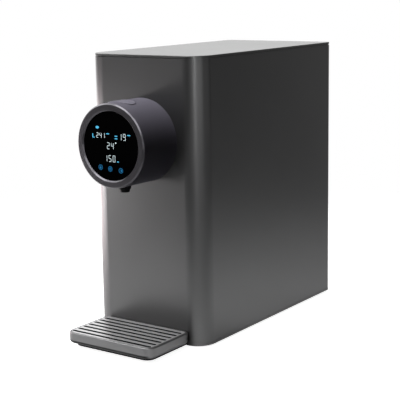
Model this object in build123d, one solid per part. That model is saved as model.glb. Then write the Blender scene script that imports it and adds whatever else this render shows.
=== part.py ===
from build123d import *
import os

# A countertop water dispenser with a round display head, in millimetres. +Z is up and -Y is the front.
# The origin lies on the worktop, under the middle of the whole footprint.

# Cabinet
BODY_W = 192.0              # over the side walls
BODY_D = 357.5              # front wall to rear edge
BODY_H = 400.0              # casing's lower edge to the top face
FRONT_R = 27.0              # bends at the front corners
REAR_R = 8.0                # bends at the rear corners
REAR_RETURN = 3.0           # flat strip past each rear bend
CORNER_MIN = 0.6            # least corner radius of a moulding inside a bend
SHEET_T = 0.8               # steel sheet of the casing
HEM_T = 0.4                 # hem round the casing's lower edge, outside the sheet
HEM_H = 3.2
HEM_EDGE_R = 0.25
COVER_T = 3.0
COVER_EDGE_R = 0.8
COVER_SEAM = 1.2            # shadow gap under the cover
COVER_LIP_T = 2.0           # lip that centres the cover in the casing
COVER_LIP_H = 6.0

# Clearances
WALL_GAP = 0.3              # between a fixed moulding and what it stands in
RUN_GAP = 0.4               # between pieces that move past each other
SEAT_GAP = 0.3              # under a piece that lifts or slides off
HOSE_GAP = 0.2              # between a hose's bore and its stub

# Base pan, its tongue and the feet
PAN_FLOOR_T = 3.0
PAN_RIM_T = 2.5
PAN_RIM_H = 24.0
TONGUE_W = 134.5
TONGUE_REACH = 83.5         # in front of the casing
TONGUE_H = 4.2
TONGUE_R = 13.0
TONGUE_EDGE_R = 1.2         # rounding of the tongue's lower edge
TONGUE_WALL = 3.0
TONGUE_RAIL_W = 5.0         # two rails that guide the tray
TONGUE_RAIL_H = 1.0
TONGUE_RAIL_SPAN = 90.0     # between the rails' middles
FOOT_R = 9.0
FOOT_PROUD = 2.5            # the casing's height above the worktop
FOOT_SEAT = 1.0             # depth of a foot's seat in the pan
FOOT_INSET = 26.0           # foot's middle from the casing's walls
FOOT_EDGE_R = 0.6           # rounding where a foot meets the worktop
TONGUE_FOOT_R = 6.0

# Drip tray and grille
TRAY_W = 149.0
TRAY_REACH = 92.0           # in front of the casing
TRAY_H = 16.2
TRAY_FRONT_R = 14.0
TRAY_REAR_R = 9.0
TRAY_EDGE_R = 2.0           # rounding of the tray's upper edge
TRAY_BELLY_R = 5.0          # rounding of the tray's lower edge
TRAY_FLOOR_T = 2.4
TRAY_RIM = 3.0
TRAY_LEDGE = 2.2            # shelf in the tray that the grille lies on
TRAY_BACK_GAP = 0.6
GRILLE_T = 3.0
GRILLE_SLOT_W = 4.8
GRILLE_PITCH = 11.4
GRILLE_BORDER = 4.5         # first slot's edge from the grille's front edge
GRILLE_SLOT_END = 2.6       # slot's end from the grille's side edge
GRILLE_EDGE_R = 0.5

# Display head
HEAD_DROP = 116.3           # top face down to the head's axis
HEAD_R = 58.0               # at the casing
HEAD_TAPER = 0.7            # radius lost from the casing to the front
HEAD_REACH = 71.3           # casing to the bezel's front face
HEAD_WALL = 2.6
HEAD_BACK_T = 3.0
HEAD_PORT_R = 17.0          # way for hose and cable through the casing
HEAD_BOSS_R = 4.5
HEAD_BOSS_H = 12.0
HEAD_BOSS_CIRCLE = 42.0
BEZEL_D = 7.0
BEZEL_CHAMFER = 2.0
BEZEL_EDGE_R = 0.7          # rounding of the chamfer's two edges
BEZEL_BEVEL = 1.7           # bevel round the display
BEZEL_LIP = 0.6             # lip in front of the glass
BEZEL_SPIGOT_L = 6.0
BEZEL_SPIGOT_T = 2.2
DISPLAY_R = 46.8            # visible disc
GLASS_LAP = 1.6             # glass behind the lip
GLASS_T = 1.8
GUIDE_T = 5.0
BOARD_T = 1.6
RETAINER_T = 2.0
RETAINER_W = 6.0
DIGIT_BLOCK_T = 3.0         # light blocks on the display board
DIGIT_WINDOWS = (           # middle x, middle z, width, height of the lit fields
    (-17.0, 12.0, 24.0, 12.0),
    (18.0, 12.0, 24.0, 12.0),
    (1.0, -1.0, 22.0, 12.0),
    (2.0, -18.0, 26.0, 12.0),
)
TOUCH_SPOTS = ((-19.0, -31.0), (-1.5, -32.0), (16.0, -33.0))
TOUCH_R = 4.2

# Button on the head
BUTTON_L = 41.0
BUTTON_W = 22.0
BUTTON_Y = 44.0             # in front of the casing
BUTTON_PROUD = 0.9
BUTTON_EDGE_R = 0.5
BUTTON_TRAVEL = 1.2
BUTTON_FLANGE_T = 1.6
BUTTON_FLANGE_LAP = 2.0
BUTTON_STEM_R = 4.0
BUTTON_STEM_L = 7.0
SWITCH_L = 30.0
SWITCH_W = 14.0
SWITCH_BODY = 7.0
SWITCH_H = 5.0
SWITCH_SHELF_T = 2.5

# Spout
NOZZLE_Y = 42.5             # in front of the casing
NOZZLE_TOP_R = 8.8
NOZZLE_FLANGE_H = 4.4       # below the head
NOZZLE_ROOT_R = 7.0         # under the flange
NOZZLE_TIP_R = 6.5
NOZZLE_EDGE_R = 0.8
NOZZLE_DROP = 8.4           # below the head
NOZZLE_BORE_R = 4.5
NOZZLE_NECK_R = 6.5
NOZZLE_NECK_L = 12.0        # inside the head
NUT_R = 10.0
NUT_H = 5.0

# Hoses and their stubs
HOSE_R = 4.5
HOSE_BORE_R = 3.0
HOSE_BEND_R = 11.0
STUB_L = 8.0
STUB_BORE_R = 1.8

# Works bay behind the front wall
WORKS_BAY_D = 128.0
BULKHEAD_T = 1.5
BULKHEAD_FLANGE = 12.0
MOUNT_R = 7.0
MOUNT_H = 8.0
BRACKET_T = 1.5
BRACKET_MARGIN = 6.0
PUMP_FRONT_GAP = 10.0       # casing to the pump
PUMP_HEAD_S = 64.0          # square pump head
PUMP_HEAD_L = 52.0
PUMP_CORNER_R = 8.0
PUMP_PORT_SPAN = 24.0
MOTOR_R = 29.0
MOTOR_L = 84.0
MOTOR_CAP_R = 12.0
MOTOR_CAP_L = 6.0
SADDLE_L = 14.0
SADDLE_W = 40.6            # across the motor
PUMP_ZONE_GAP = 10.0        # above the booster pump
WATER_BOX_W = 72.0
WATER_BOX_D = 60.0
WATER_BOX_H = 110.0
WATER_BOX_R = 8.0
WORKS_SPREAD = 42.0         # water box and heater from the middle
DELIVERY_RISE = 26.0        # delivery pump's axis above the water box's floor
DELIVERY_MOTOR_R = 16.0
DELIVERY_MOTOR_L = 26.0
DELIVERY_HEAD_R = 20.0
DELIVERY_HEAD_L = 18.0
HEATER_W = 54.0
HEATER_D = 28.0
HEATER_H = 72.0
HEATER_DROP = 24.0          # head's axis down to the heater's top
HEATER_CAP_H = 8.0
HEATER_INSET = 3.5         # core inside the end caps' outline
HEATER_LEG_R = 3.6
THERMOSTAT_R = 8.0
THERMOSTAT_T = 5.0
CONTROL_W = 70.0
CONTROL_H = 78.0
CONTROL_GAP = 8.0           # above the water box
POST_R = 3.0
POST_L = 7.0
POST_INSET = 5.0
PART_T = 9.0                # low components on a board
RELAY_W = 13.0
RELAY_H = 39.0
CHIP_S = 13.0
CHIP_T = 4.5

# Filters
FILTER_R = 35.0
FILTER_GAP = 8.0            # between the two cartridges
FILTER_FRONT_GAP = 14.0
FILTER_HOLE_GAP = 3.0
FILTER_SHOULDER = 5.0
FILTER_TOP_GAP = 4.0        # handle's top below the deck
HANDLE_H = 16.0
HANDLE_T = 9.0
HANDLE_R = 3.0
HANDLE_L = 56.0
NECK_R = 16.0
LUG_REACH = 3.0
LUG_H = 5.0
LUG_ARC = 40.0
COLLAR_H = 14.0
COLLAR_T = 4.0
COLLAR_LIP_H = 4.0
COLLAR_GAP = 1.0
COLLAR_MOUTH_ARC = 60.0
SOCKET_DEPTH = 18.0
SEAL_T = 2.0
SEAL_SECTION = 1.2
SEAL_PITCH = 6.0
SEAL_PROUD = 0.1            # outlet seal over its groove
MANIFOLD_H = 34.0
MANIFOLD_D = 58.0
MANIFOLD_R = 6.0
MANIFOLD_LEG_R = 5.0
VALVE_W = 24.0
VALVE_H = 26.0
VALVE_D = 16.0
COIL_R = 7.0
COIL_L = 16.0
PROBE_R = 5.0
PROBE_L = 14.0
PROBE_SPAN = 18.0

# Tank bay
HOSE_ALLEY = 18.0           # behind the filters
PARTITION_T = 3.0
SHELF_T = 3.0
UNDER_SHELF_H = 60.0
RIB_T = 3.0
RIB_SPAN = 130.0
RAIL_H = 8.0
RAIL_T = 3.0
PANEL_T = 2.0
PANEL_BOSS_R = 4.0
PANEL_BOSS_L = 12.0
VENT_COUNT = 8
VENT_W = 3.0
VENT_L = 30.0
VENT_PITCH = 6.5
TANK_SIDE_GAP = 1.2
TANK_SET = 1.0              # tank's rear face inside the casing's rear edge
TANK_WALL = 2.5
TANK_R = 9.0
TANK_EDGE_R = 4.0
GRIP_W = 96.0
GRIP_H = 34.0
GRIP_D = 20.0
GRIP_R = 8.5
GRIP_DROP = 38.0            # tank's top to the grip's top
LID_T = 4.0
LID_GAP = 2.0
LID_PLUG_H = 6.0
LID_PLUG_T = 2.0
OUTLET_RISE = 24.0          # outlet's axis above the tank's floor
OUTLET_R = 8.5
OUTLET_L = 12.0             # inside the dock
OUTLET_BORE_R = 5.0
OUTLET_FLANGE_R = 12.0
OUTLET_FLANGE_T = 2.5
DOCK_R = 13.0
DOCK_FLOOR_T = 2.5

# Power side, under the tank shelf
POWER_W = 100.0
POWER_D = 80.0
TRANSFORMER_W = 20.0
TRANSFORMER_D = 40.0
TRANSFORMER_H = 27.0
CAPACITOR_R = 6.3
CAPACITOR_H = 18.0
CAPACITOR_PITCH = 20.0
INLET_W = 28.0
INLET_H = 20.5
INLET_DEPTH = 24.0
INLET_WALL = 2.0
INLET_FLANGE = 5.0
INLET_FLANGE_T = 1.0
INLET_X = 40.0
PIN_W = 2.0
PIN_H = 4.0
PIN_L = 14.0
PIN_SPAN = 7.0
PIN_RISE = 2.0

# Deck under the cover
DECK_DEPTH = 14.0           # cover's underside down to the deck
DECK_T = 2.5
DECK_RIM_T = 2.5
DECK_HATCH_MARGIN = 22.0
DECK_HATCH_R = 10.0

# Screws
SCREW_R = 1.5
SCREW_HEAD_R = 2.9
SCREW_HEAD_H = 1.0
SCREW_HOLE_R = 1.7

# Places worked out from the sizes above
FRONT_Y = TRAY_REACH - (BODY_D + HEM_T + TRAY_REACH) / 2
REAR_Y = FRONT_Y + BODY_D
BASE_Z = FOOT_PROUD
TOP_Z = BASE_Z + BODY_H
COVER_Z = TOP_Z - COVER_T
CASING_TOP = COVER_Z - COVER_SEAM
LINER = SHEET_T + WALL_GAP
MOUTH_W = BODY_W - 2 * (REAR_R + REAR_RETURN)
INNER_X = BODY_W / 2 - LINER - PAN_RIM_T - WALL_GAP
PAN_TOP = BASE_Z + PAN_FLOOR_T
TONGUE_TOP = BASE_Z + TONGUE_H
DECK_TOP = COVER_Z - DECK_DEPTH
DECK_Z = DECK_TOP - DECK_T
DECK_RIM_INSET = SHEET_T + COVER_LIP_T + 2 * RUN_GAP

TRAY_Z = TONGUE_TOP + SEAT_GAP
TRAY_TOP = TRAY_Z + TRAY_H
TRAY_FRONT = FRONT_Y - TRAY_REACH
TRAY_BACK = FRONT_Y - TRAY_BACK_GAP
GRILLE_Z = TRAY_TOP - GRILLE_T

HEAD_Z = TOP_Z - HEAD_DROP
HEAD = Plane(origin=(0, FRONT_Y, HEAD_Z), x_dir=(1, 0, 0), z_dir=(0, -1, 0)).location
HOUSING_L = HEAD_REACH - BEZEL_D
GLASS_FRONT = HEAD_REACH - BEZEL_BEVEL - BEZEL_LIP
GLASS_R = DISPLAY_R + GLASS_LAP
GUIDE_FRONT = GLASS_FRONT - GLASS_T
BOARD_FRONT = GUIDE_FRONT - GUIDE_T
RETAINER_FRONT = BOARD_FRONT - BOARD_T
HEAD_SCREW_ANGLES = (30, 150, 270)

BAY_Y = FRONT_Y + SHEET_T
BULKHEAD_Y = BAY_Y + WORKS_BAY_D
FILTER_Y = BULKHEAD_Y + BULKHEAD_T + FILTER_FRONT_GAP + FILTER_R
FILTER_X = FILTER_R + FILTER_GAP / 2
PARTITION_Y = FILTER_Y + FILTER_R + HOSE_ALLEY
PANEL_Y = REAR_Y - SHEET_T - WALL_GAP - PANEL_T
PANEL_X = BODY_W / 2 - REAR_R - WALL_GAP

BRACKET_Z = PAN_TOP + MOUNT_H
PUMP_Z = BRACKET_Z + BRACKET_T + PUMP_HEAD_S / 2
PUMP_Y = BAY_Y + PUMP_FRONT_GAP + PUMP_HEAD_S / 2
PUMP_BACK = PUMP_Y + PUMP_HEAD_S / 2
PUMP_LEFT = -(PUMP_HEAD_L + MOTOR_L) / 2
MOTOR_LEFT = PUMP_LEFT + PUMP_HEAD_L
PUMP_OUT_X = PUMP_LEFT + PUMP_HEAD_L / 2 - PUMP_PORT_SPAN / 2
PUMP_IN_X = PUMP_OUT_X + PUMP_PORT_SPAN
MANIFOLD_Z = PUMP_Z - MANIFOLD_H / 2
MANIFOLD_TOP = MANIFOLD_Z + MANIFOLD_H
MANIFOLD_FRONT = FILTER_Y - MANIFOLD_D / 2
MANIFOLD_X = FILTER_X + FILTER_R
FEED_Z = (PAN_TOP + MANIFOLD_Z) / 2

WATER_BOX_Z = PUMP_Z + PUMP_HEAD_S / 2 + PUMP_ZONE_GAP
WATER_BOX_TOP = WATER_BOX_Z + WATER_BOX_H
DELIVERY_Z = WATER_BOX_Z + DELIVERY_RISE
DELIVERY_Y = BULKHEAD_Y - DELIVERY_MOTOR_L - DELIVERY_HEAD_L / 2
HEATER_TOP = HEAD_Z - HEATER_DROP
HEATER_Z = HEATER_TOP - HEATER_H

FILTER_FLOOR = MANIFOLD_TOP + COLLAR_H + RUN_GAP
FILTER_TOP = DECK_Z - FILTER_TOP_GAP
COLLAR_R = NECK_R + LUG_REACH + COLLAR_GAP

SHELF_Z = PAN_TOP + UNDER_SHELF_H
SHELF_TOP = SHELF_Z + SHELF_T
TANK_W = MOUTH_W - 2 * TANK_SIDE_GAP
TANK_FRONT = PARTITION_Y + PARTITION_T + RUN_GAP
TANK_BACK = REAR_Y - TANK_SET
TANK_Z = SHELF_TOP + SEAT_GAP
TANK_TOP = DECK_Z - LID_GAP - LID_T
OUTLET_Z = TANK_Z + OUTLET_RISE
DOCK_FRONT = PARTITION_Y - OUTLET_L - RUN_GAP - DOCK_FLOOR_T
DOCK_Y = PARTITION_Y - OUTLET_L / 2
INLET_Z = (PAN_TOP + SHELF_Z) / 2


# Shapes shared by the pieces

def block(x, y, z):
    """Box between low and high x, y and z."""
    size = Box(x[1] - x[0], y[1] - y[0], z[1] - z[0])
    return Pos((x[0] + x[1]) / 2, (y[0] + y[1]) / 2, (z[0] + z[1]) / 2) * size


def plate(x, y, z, radius):
    """Box between low and high x, y and z with rounded upright edges."""
    outline = RectangleRounded(x[1] - x[0], y[1] - y[0], radius)
    return Pos((x[0] + x[1]) / 2, (y[0] + y[1]) / 2, z[0]) * extrude(outline, z[1] - z[0])


def rod(radius, start, end):
    """Cylinder from one point to another."""
    along = Vector(*end) - Vector(*start)
    return extrude(Plane(origin=start, z_dir=along) * Circle(radius), along.length)


def turned(points, round_radius=0.0, rounded=()):
    """Solid of revolution about Z from (radius, height) points, with the numbered corners rounded."""
    section = make_face(Polyline(*points, close=True))
    for number in rounded:
        corner = section.vertices().sort_by_distance(points[number])[0]
        section = fillet(corner, round_radius)
    return revolve(Plane.XZ * section, Axis.Z)


def cabinet_plan(inset):
    """Plan of the cabinet, drawn in by an inset."""
    outline = Rectangle(BODY_W - 2 * inset, BODY_D - 2 * inset)
    outline = fillet(outline.vertices().group_by(Axis.Y)[0], FRONT_R - inset)
    outline = fillet(outline.vertices().group_by(Axis.Y)[-1], max(REAR_R - inset, CORNER_MIN))
    return Pos(0, (FRONT_Y + REAR_Y) / 2) * outline


def slab(inset, low, high):
    """Upright prism on the cabinet's plan."""
    return Pos(0, 0, low) * extrude(cabinet_plan(inset), high - low)


def stub(tip, way):
    """Bored hose stub that stands on a face at a point and reaches one way."""
    end = tuple(Vector(*tip) + Vector(*way) * STUB_L)
    return rod(HOSE_BORE_R - HOSE_GAP, tip, end) - rod(STUB_BORE_R, tip, end)


def hose(*route):
    """Hose along straight runs with round bends."""
    path = Line(*route) if len(route) == 2 else FilletPolyline(*route, radius=HOSE_BEND_R)
    section = Plane(origin=path @ 0, z_dir=path % 0) * (Circle(HOSE_R) - Circle(HOSE_BORE_R))
    return sweep(section, path)


def screw(seat, way, length):
    """Round-headed screw whose head sits on a face and whose shank runs one way."""
    end = tuple(Vector(*seat) + Vector(*way) * length)
    crown = tuple(Vector(*seat) - Vector(*way) * SCREW_HEAD_H)
    return rod(SCREW_R, seat, end) + rod(SCREW_HEAD_R, seat, crown)


def feet_places():
    """Middles of the four feet under the cabinet."""
    x = BODY_W / 2 - FOOT_INSET
    return [(sx * x, y) for sx in (-1, 1) for y in (FRONT_Y + FOOT_INSET, REAR_Y - FOOT_INSET)]


def tongue_feet_places():
    """Middles of the two small feet under the tongue."""
    x = TONGUE_W / 2 - TONGUE_R - TONGUE_WALL
    return [(sx * x, FRONT_Y - TONGUE_REACH + TONGUE_R + TONGUE_WALL) for sx in (-1, 1)]


def deck_screw_places():
    """Middles of the screws that hold the deck to the bulkhead and the cradle."""
    x = INNER_X - 2 * SCREW_HEAD_R - DECK_RIM_T
    rows = (BULKHEAD_Y - BULKHEAD_FLANGE / 2, PARTITION_Y - PANEL_BOSS_R / 2)
    return [(sx * x, y) for sx in (-1, 1) for y in rows]


def panel_screw_places():
    """Middles (x, z) of the screws that hold the rear panel to the cradle's ribs."""
    rows = (PAN_TOP + 2 * PANEL_BOSS_R, SHELF_Z - 2 * PANEL_BOSS_R)
    return [(sx * RIB_SPAN / 2, z) for sx in (-1, 1) for z in rows]


# Cabinet

def casing_wrap():
    """Steel sheet bent round the front and both sides, open to the rear, with a hem along its lower edge."""
    hem = slab(-HEM_T, BASE_Z, BASE_Z + HEM_H)
    hem = fillet(hem.faces().filter_by(Axis.Z).edges(), HEM_EDGE_R)
    shell = slab(0, BASE_Z, CASING_TOP) + hem - slab(SHEET_T, BASE_Z, CASING_TOP)
    depth = (REAR_Y - 2 * SHEET_T, REAR_Y + SHEET_T)
    shell -= block((-MOUTH_W / 2, MOUTH_W / 2), depth, (BASE_Z, CASING_TOP))
    notch = TONGUE_W / 2 + WALL_GAP
    front = (FRONT_Y - SHEET_T, FRONT_Y + 2 * SHEET_T)
    shell -= block((-notch, notch), front, (BASE_Z, TONGUE_TOP + WALL_GAP))
    holes = Pos(0, 0, -2 * SHEET_T) * extrude(Circle(HEAD_PORT_R), 3 * SHEET_T)
    for angle in HEAD_SCREW_ANGLES:
        hole = extrude(Circle(SCREW_HOLE_R), 3 * SHEET_T)
        holes += Rot(0, 0, angle) * Pos(HEAD_BOSS_CIRCLE, 0, -2 * SHEET_T) * hole
    return shell - HEAD * holes


def top_cover():
    """Flat cover with a lip that drops inside the casing."""
    lid = slab(0, COVER_Z, TOP_Z)
    lid = fillet(lid.faces().sort_by(Axis.Z)[-1].edges(), COVER_EDGE_R)
    inset = SHEET_T + RUN_GAP
    lip = slab(inset, COVER_Z - COVER_LIP_H, COVER_Z)
    return lid + lip - slab(inset + COVER_LIP_T, COVER_Z - COVER_LIP_H, COVER_Z)


def base_pan():
    """Floor of the machine with an upstand inside the casing and a tongue that carries the tray."""
    pan = slab(LINER, BASE_Z, PAN_TOP + PAN_RIM_H)
    pan -= slab(LINER + PAN_RIM_T, PAN_TOP, PAN_TOP + PAN_RIM_H)
    rear = (REAR_Y - LINER - PAN_RIM_T, REAR_Y)
    inner = INNER_X + WALL_GAP
    pan -= block((-inner, inner), rear, (PAN_TOP, PAN_TOP + PAN_RIM_H))
    pan += tongue()
    for x, y in feet_places():
        pan -= rod(FOOT_R, (x, y, BASE_Z), (x, y, BASE_Z + FOOT_SEAT))
    for x, y in tongue_feet_places():
        pan -= rod(TONGUE_FOOT_R, (x, y, BASE_Z), (x, y, BASE_Z + FOOT_SEAT))
    return pan


def tongue():
    """Shelf in front of the casing, hollow below, with two rails and two foot bosses."""
    half = TONGUE_W / 2
    front = FRONT_Y - TONGUE_REACH
    back = FRONT_Y + LINER + PAN_RIM_T / 2
    shelf = plate((-half, half), (front, back + TONGUE_R), (BASE_Z, TONGUE_TOP), TONGUE_R)
    shelf = fillet(shelf.faces().sort_by(Axis.Z)[0].edges(), TONGUE_EDGE_R)
    shelf -= block((-half, half), (back, back + TONGUE_R), (BASE_Z, TONGUE_TOP))
    wall = TONGUE_WALL
    pocket = (BASE_Z, TONGUE_TOP - wall)
    for side in (-1, 1):
        x = sorted((side * wall / 2, side * (half - wall)))
        shelf -= plate(x, (front + wall, FRONT_Y - wall), pocket, TONGUE_R - wall)
        middle = side * TONGUE_RAIL_SPAN / 2
        rail = (middle - TONGUE_RAIL_W / 2, middle + TONGUE_RAIL_W / 2)
        length = (front + 2 * TONGUE_R, TRAY_BACK)
        shelf += block(rail, length, (TONGUE_TOP, TONGUE_TOP + TONGUE_RAIL_H))
    for x, y in tongue_feet_places():
        shelf += rod(TONGUE_FOOT_R + wall / 2, (x, y, BASE_Z), (x, y, TONGUE_TOP - wall))
    return shelf


def feet():
    """Rubber feet under the cabinet and under the tongue."""
    places = [(FOOT_R, place) for place in feet_places()]
    places += [(TONGUE_FOOT_R, place) for place in tongue_feet_places()]
    seat = BASE_Z + FOOT_SEAT
    pads = []
    for radius, (x, y) in places:
        pad = turned([(0, 0), (radius, 0), (radius, seat), (0, seat)], FOOT_EDGE_R, [1])
        pads.append(Pos(x, y, 0) * pad)
    return Compound(pads)


def upper_deck():
    """Plate under the cover with a rim that the cover lies on and ways for the filters."""
    deck = slab(LINER, DECK_Z, DECK_TOP)
    rim = slab(DECK_RIM_INSET, DECK_TOP, COVER_Z - SEAT_GAP)
    deck += rim - slab(DECK_RIM_INSET + DECK_RIM_T, DECK_TOP, COVER_Z)
    for side in (-1, 1):
        x = side * FILTER_X
        deck -= rod(FILTER_R + FILTER_HOLE_GAP, (x, FILTER_Y, DECK_Z), (x, FILTER_Y, DECK_TOP))
    half = INNER_X - DECK_HATCH_MARGIN
    hatch = (BAY_Y + DECK_HATCH_MARGIN, BULKHEAD_Y - DECK_HATCH_MARGIN)
    deck -= plate((-half, half), hatch, (DECK_Z, DECK_TOP), DECK_HATCH_R)
    for x, y in deck_screw_places():
        deck -= rod(SCREW_HOLE_R, (x, y, DECK_Z), (x, y, DECK_TOP))
    return deck


def bulkhead():
    """Sheet wall across the cabinet that carries the pumps, heater and control board."""
    width = (-INNER_X, INNER_X)
    wall = block(width, (BULKHEAD_Y, BULKHEAD_Y + BULKHEAD_T), (PAN_TOP, DECK_Z))
    flange = (BULKHEAD_Y - BULKHEAD_FLANGE, BULKHEAD_Y)
    wall += block(width, flange, (PAN_TOP, PAN_TOP + BULKHEAD_T))
    wall += block(width, flange, (DECK_Z - BULKHEAD_T, DECK_Z))
    for x, y in deck_screw_places():
        wall -= rod(SCREW_HOLE_R, (x, y, DECK_Z - 2 * BULKHEAD_T), (x, y, DECK_Z))
    far = BULKHEAD_Y + 2 * BULKHEAD_T
    way = HOSE_R + FILTER_HOLE_GAP
    for x in (PUMP_OUT_X, WORKS_SPREAD):
        wall -= rod(way, (x, BULKHEAD_Y - BULKHEAD_T, PUMP_Z), (x, far, PUMP_Z))
    notch = (PUMP_IN_X - way, way)
    return wall - block(notch, (BULKHEAD_Y, far), (FEED_Z - way, FEED_Z + way))


def tank_cradle():
    """Shelf and partition of the tank bay, with ribs below, guide rails and the dock's hole."""
    width = (-INNER_X, INNER_X)
    cradle = block(width, (PARTITION_Y, PARTITION_Y + PARTITION_T), (PAN_TOP, DECK_Z))
    run = (PARTITION_Y + PARTITION_T, PANEL_Y)
    cradle += block(width, run, (SHELF_Z, SHELF_TOP))
    for side in (-1, 1):
        rib = sorted((side * (RIB_SPAN - RIB_T) / 2, side * (RIB_SPAN + RIB_T) / 2))
        cradle += block(rib, run, (PAN_TOP, SHELF_Z))
        inner = TANK_W / 2 + RUN_GAP
        rail = sorted((side * inner, side * (inner + RAIL_T)))
        cradle += block(rail, run, (SHELF_TOP, SHELF_TOP + RAIL_H))
    for x, z in panel_screw_places():
        boss = rod(PANEL_BOSS_R, (x, PANEL_Y, z), (x, PANEL_Y - PANEL_BOSS_L, z))
        cradle = cradle + boss - rod(SCREW_HOLE_R, (x, PANEL_Y, z), (x, PANEL_Y - PANEL_BOSS_L, z))
    for x, y in deck_screw_places():
        if y > FILTER_Y:
            low = DECK_Z - PANEL_BOSS_L
            cradle += rod(PANEL_BOSS_R, (x, y, low), (x, y, DECK_Z))
            cradle -= rod(SCREW_HOLE_R, (x, y, low), (x, y, DECK_Z))
    hole = OUTLET_R + 2 * RUN_GAP
    ends = (PARTITION_Y, PARTITION_Y + PARTITION_T)
    return cradle - rod(hole, (0, ends[0], OUTLET_Z), (0, ends[1], OUTLET_Z))


def rear_panel():
    """Lower rear panel with cooling slots and the power inlet's cut-out."""
    panel = block((-PANEL_X, PANEL_X), (PANEL_Y, PANEL_Y + PANEL_T), (PAN_TOP, SHELF_TOP))
    face = Plane(origin=(0, PANEL_Y, INLET_Z), x_dir=(1, 0, 0), z_dir=(0, 1, 0))
    slot = extrude(SlotOverall(VENT_L, VENT_W, rotation=90), PANEL_T)
    for place in GridLocations(VENT_PITCH, 0, VENT_COUNT, 1):
        panel -= face.location * Pos(-INLET_X, 0) * place * slot
    half_w = INLET_W / 2 + WALL_GAP
    half_h = INLET_H / 2 + WALL_GAP
    x = (INLET_X - half_w, INLET_X + half_w)
    panel -= block(x, (PANEL_Y, PANEL_Y + PANEL_T), (INLET_Z - half_h, INLET_Z + half_h))
    for x, z in panel_screw_places():
        panel -= rod(SCREW_HOLE_R, (x, PANEL_Y, z), (x, PANEL_Y + PANEL_T, z))
    return panel


# Drip tray

def tray_plan(inset):
    """Plan of the drip tray, drawn in by an inset."""
    outline = Rectangle(TRAY_W - 2 * inset, TRAY_BACK - TRAY_FRONT - 2 * inset)
    outline = fillet(outline.vertices().group_by(Axis.Y)[0], TRAY_FRONT_R - inset)
    outline = fillet(outline.vertices().group_by(Axis.Y)[-1], TRAY_REAR_R - inset)
    return Pos(0, (TRAY_FRONT + TRAY_BACK) / 2) * outline


def drip_tray():
    """Shallow dish with rounded edges, a ledge for the grille and grooves for the tongue's rails."""
    dish = Pos(0, 0, TRAY_Z) * extrude(tray_plan(0), TRAY_H)
    dish = fillet(dish.faces().sort_by(Axis.Z)[-1].edges(), TRAY_EDGE_R)
    dish = fillet(dish.faces().sort_by(Axis.Z)[0].edges(), TRAY_BELLY_R)
    dish -= Pos(0, 0, GRILLE_Z) * extrude(tray_plan(TRAY_RIM), GRILLE_T)
    well = TRAY_Z + TRAY_FLOOR_T
    dish -= Pos(0, 0, well) * extrude(tray_plan(TRAY_RIM + TRAY_LEDGE), GRILLE_Z - well)
    front = FRONT_Y - TONGUE_REACH + 2 * TONGUE_R - RUN_GAP
    half = TONGUE_RAIL_W / 2 + RUN_GAP
    for side in (-1, 1):
        middle = side * TONGUE_RAIL_SPAN / 2
        dish -= block((middle - half, middle + half), (front, TRAY_BACK), (TRAY_Z, TRAY_Z + TONGUE_RAIL_H))
    return dish


def drip_grille():
    """Flat grille with slots across it, which lies on the tray's ledge."""
    inset = TRAY_RIM + SEAT_GAP
    sheet = Pos(0, 0, GRILLE_Z + SEAT_GAP) * extrude(tray_plan(inset), GRILLE_T - SEAT_GAP)
    front = TRAY_FRONT + inset + GRILLE_BORDER + GRILLE_SLOT_W / 2
    room = TRAY_BACK - inset - GRILLE_BORDER - GRILLE_SLOT_W / 2 - front
    length = TRAY_W - 2 * (inset + GRILLE_SLOT_END)
    for step in range(int(room // GRILLE_PITCH) + 1):
        place = Pos(0, front + step * GRILLE_PITCH, GRILLE_Z)
        sheet -= place * extrude(SlotOverall(length, GRILLE_SLOT_W), GRILLE_T)
    return fillet(sheet.faces().sort_by(Axis.Z)[-1].edges(), GRILLE_EDGE_R)


# Display head. These are drawn with the head's axis as Z, the front as +Z and up as +Y.

def head_radius(reach):
    """Outer radius of the head at a distance from the casing."""
    return HEAD_R - HEAD_TAPER * reach / HEAD_REACH


def head_cone(grow, low, high):
    """Solid of the head's outside, grown by a margin."""
    edge = [(head_radius(low) + grow, low), (head_radius(high) + grow, high)]
    return turned([(0, low), *edge, (0, high)])


def obround(length, width, low, high):
    """Upright obround column at the button's place."""
    ground = Plane(origin=(0, low, BUTTON_Y), x_dir=(1, 0, 0), z_dir=(0, 1, 0))
    return extrude(ground * SlotOverall(length, width), high - low)


def switch_floor():
    """Height of the switch board above the head's axis."""
    under_flange = head_radius(BUTTON_Y) - HEAD_WALL - RUN_GAP - BUTTON_FLANGE_T
    return under_flange - BUTTON_STEM_L - BUTTON_TRAVEL - RUN_GAP - SWITCH_H - BOARD_T


def head_housing():
    """Round moulded housing with a back wall, screw bosses, a switch shelf, and button and spout holes."""
    shell = head_cone(0, 0, HOUSING_L)
    shell -= head_cone(-HEAD_WALL, HEAD_BACK_T, HOUSING_L)
    shelf = (switch_floor() - SWITCH_SHELF_T, switch_floor())
    shell += block((-SWITCH_L / 2, SWITCH_L / 2), shelf, (HEAD_BACK_T, BUTTON_Y + SWITCH_W / 2))
    for angle in HEAD_SCREW_ANGLES:
        place = Rot(0, 0, angle) * Pos(HEAD_BOSS_CIRCLE, 0, 0)
        shell += place * extrude(Circle(HEAD_BOSS_R), HEAD_BACK_T + HEAD_BOSS_H)
        shell -= place * extrude(Circle(SCREW_HOLE_R), HEAD_BOSS_H)
    shell -= extrude(Circle(HEAD_PORT_R), HEAD_BACK_T)
    room = 2 * RUN_GAP
    switch_top = switch_floor() + BOARD_T + SWITCH_H
    shell -= obround(BUTTON_L + room, BUTTON_W + room, switch_top, 2 * HEAD_R)
    spout = NOZZLE_NECK_R + WALL_GAP
    shell -= rod(spout, (0, -HEAD_R / 2, NOZZLE_Y), (0, -2 * HEAD_R, NOZZLE_Y))
    return HEAD * shell


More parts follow.
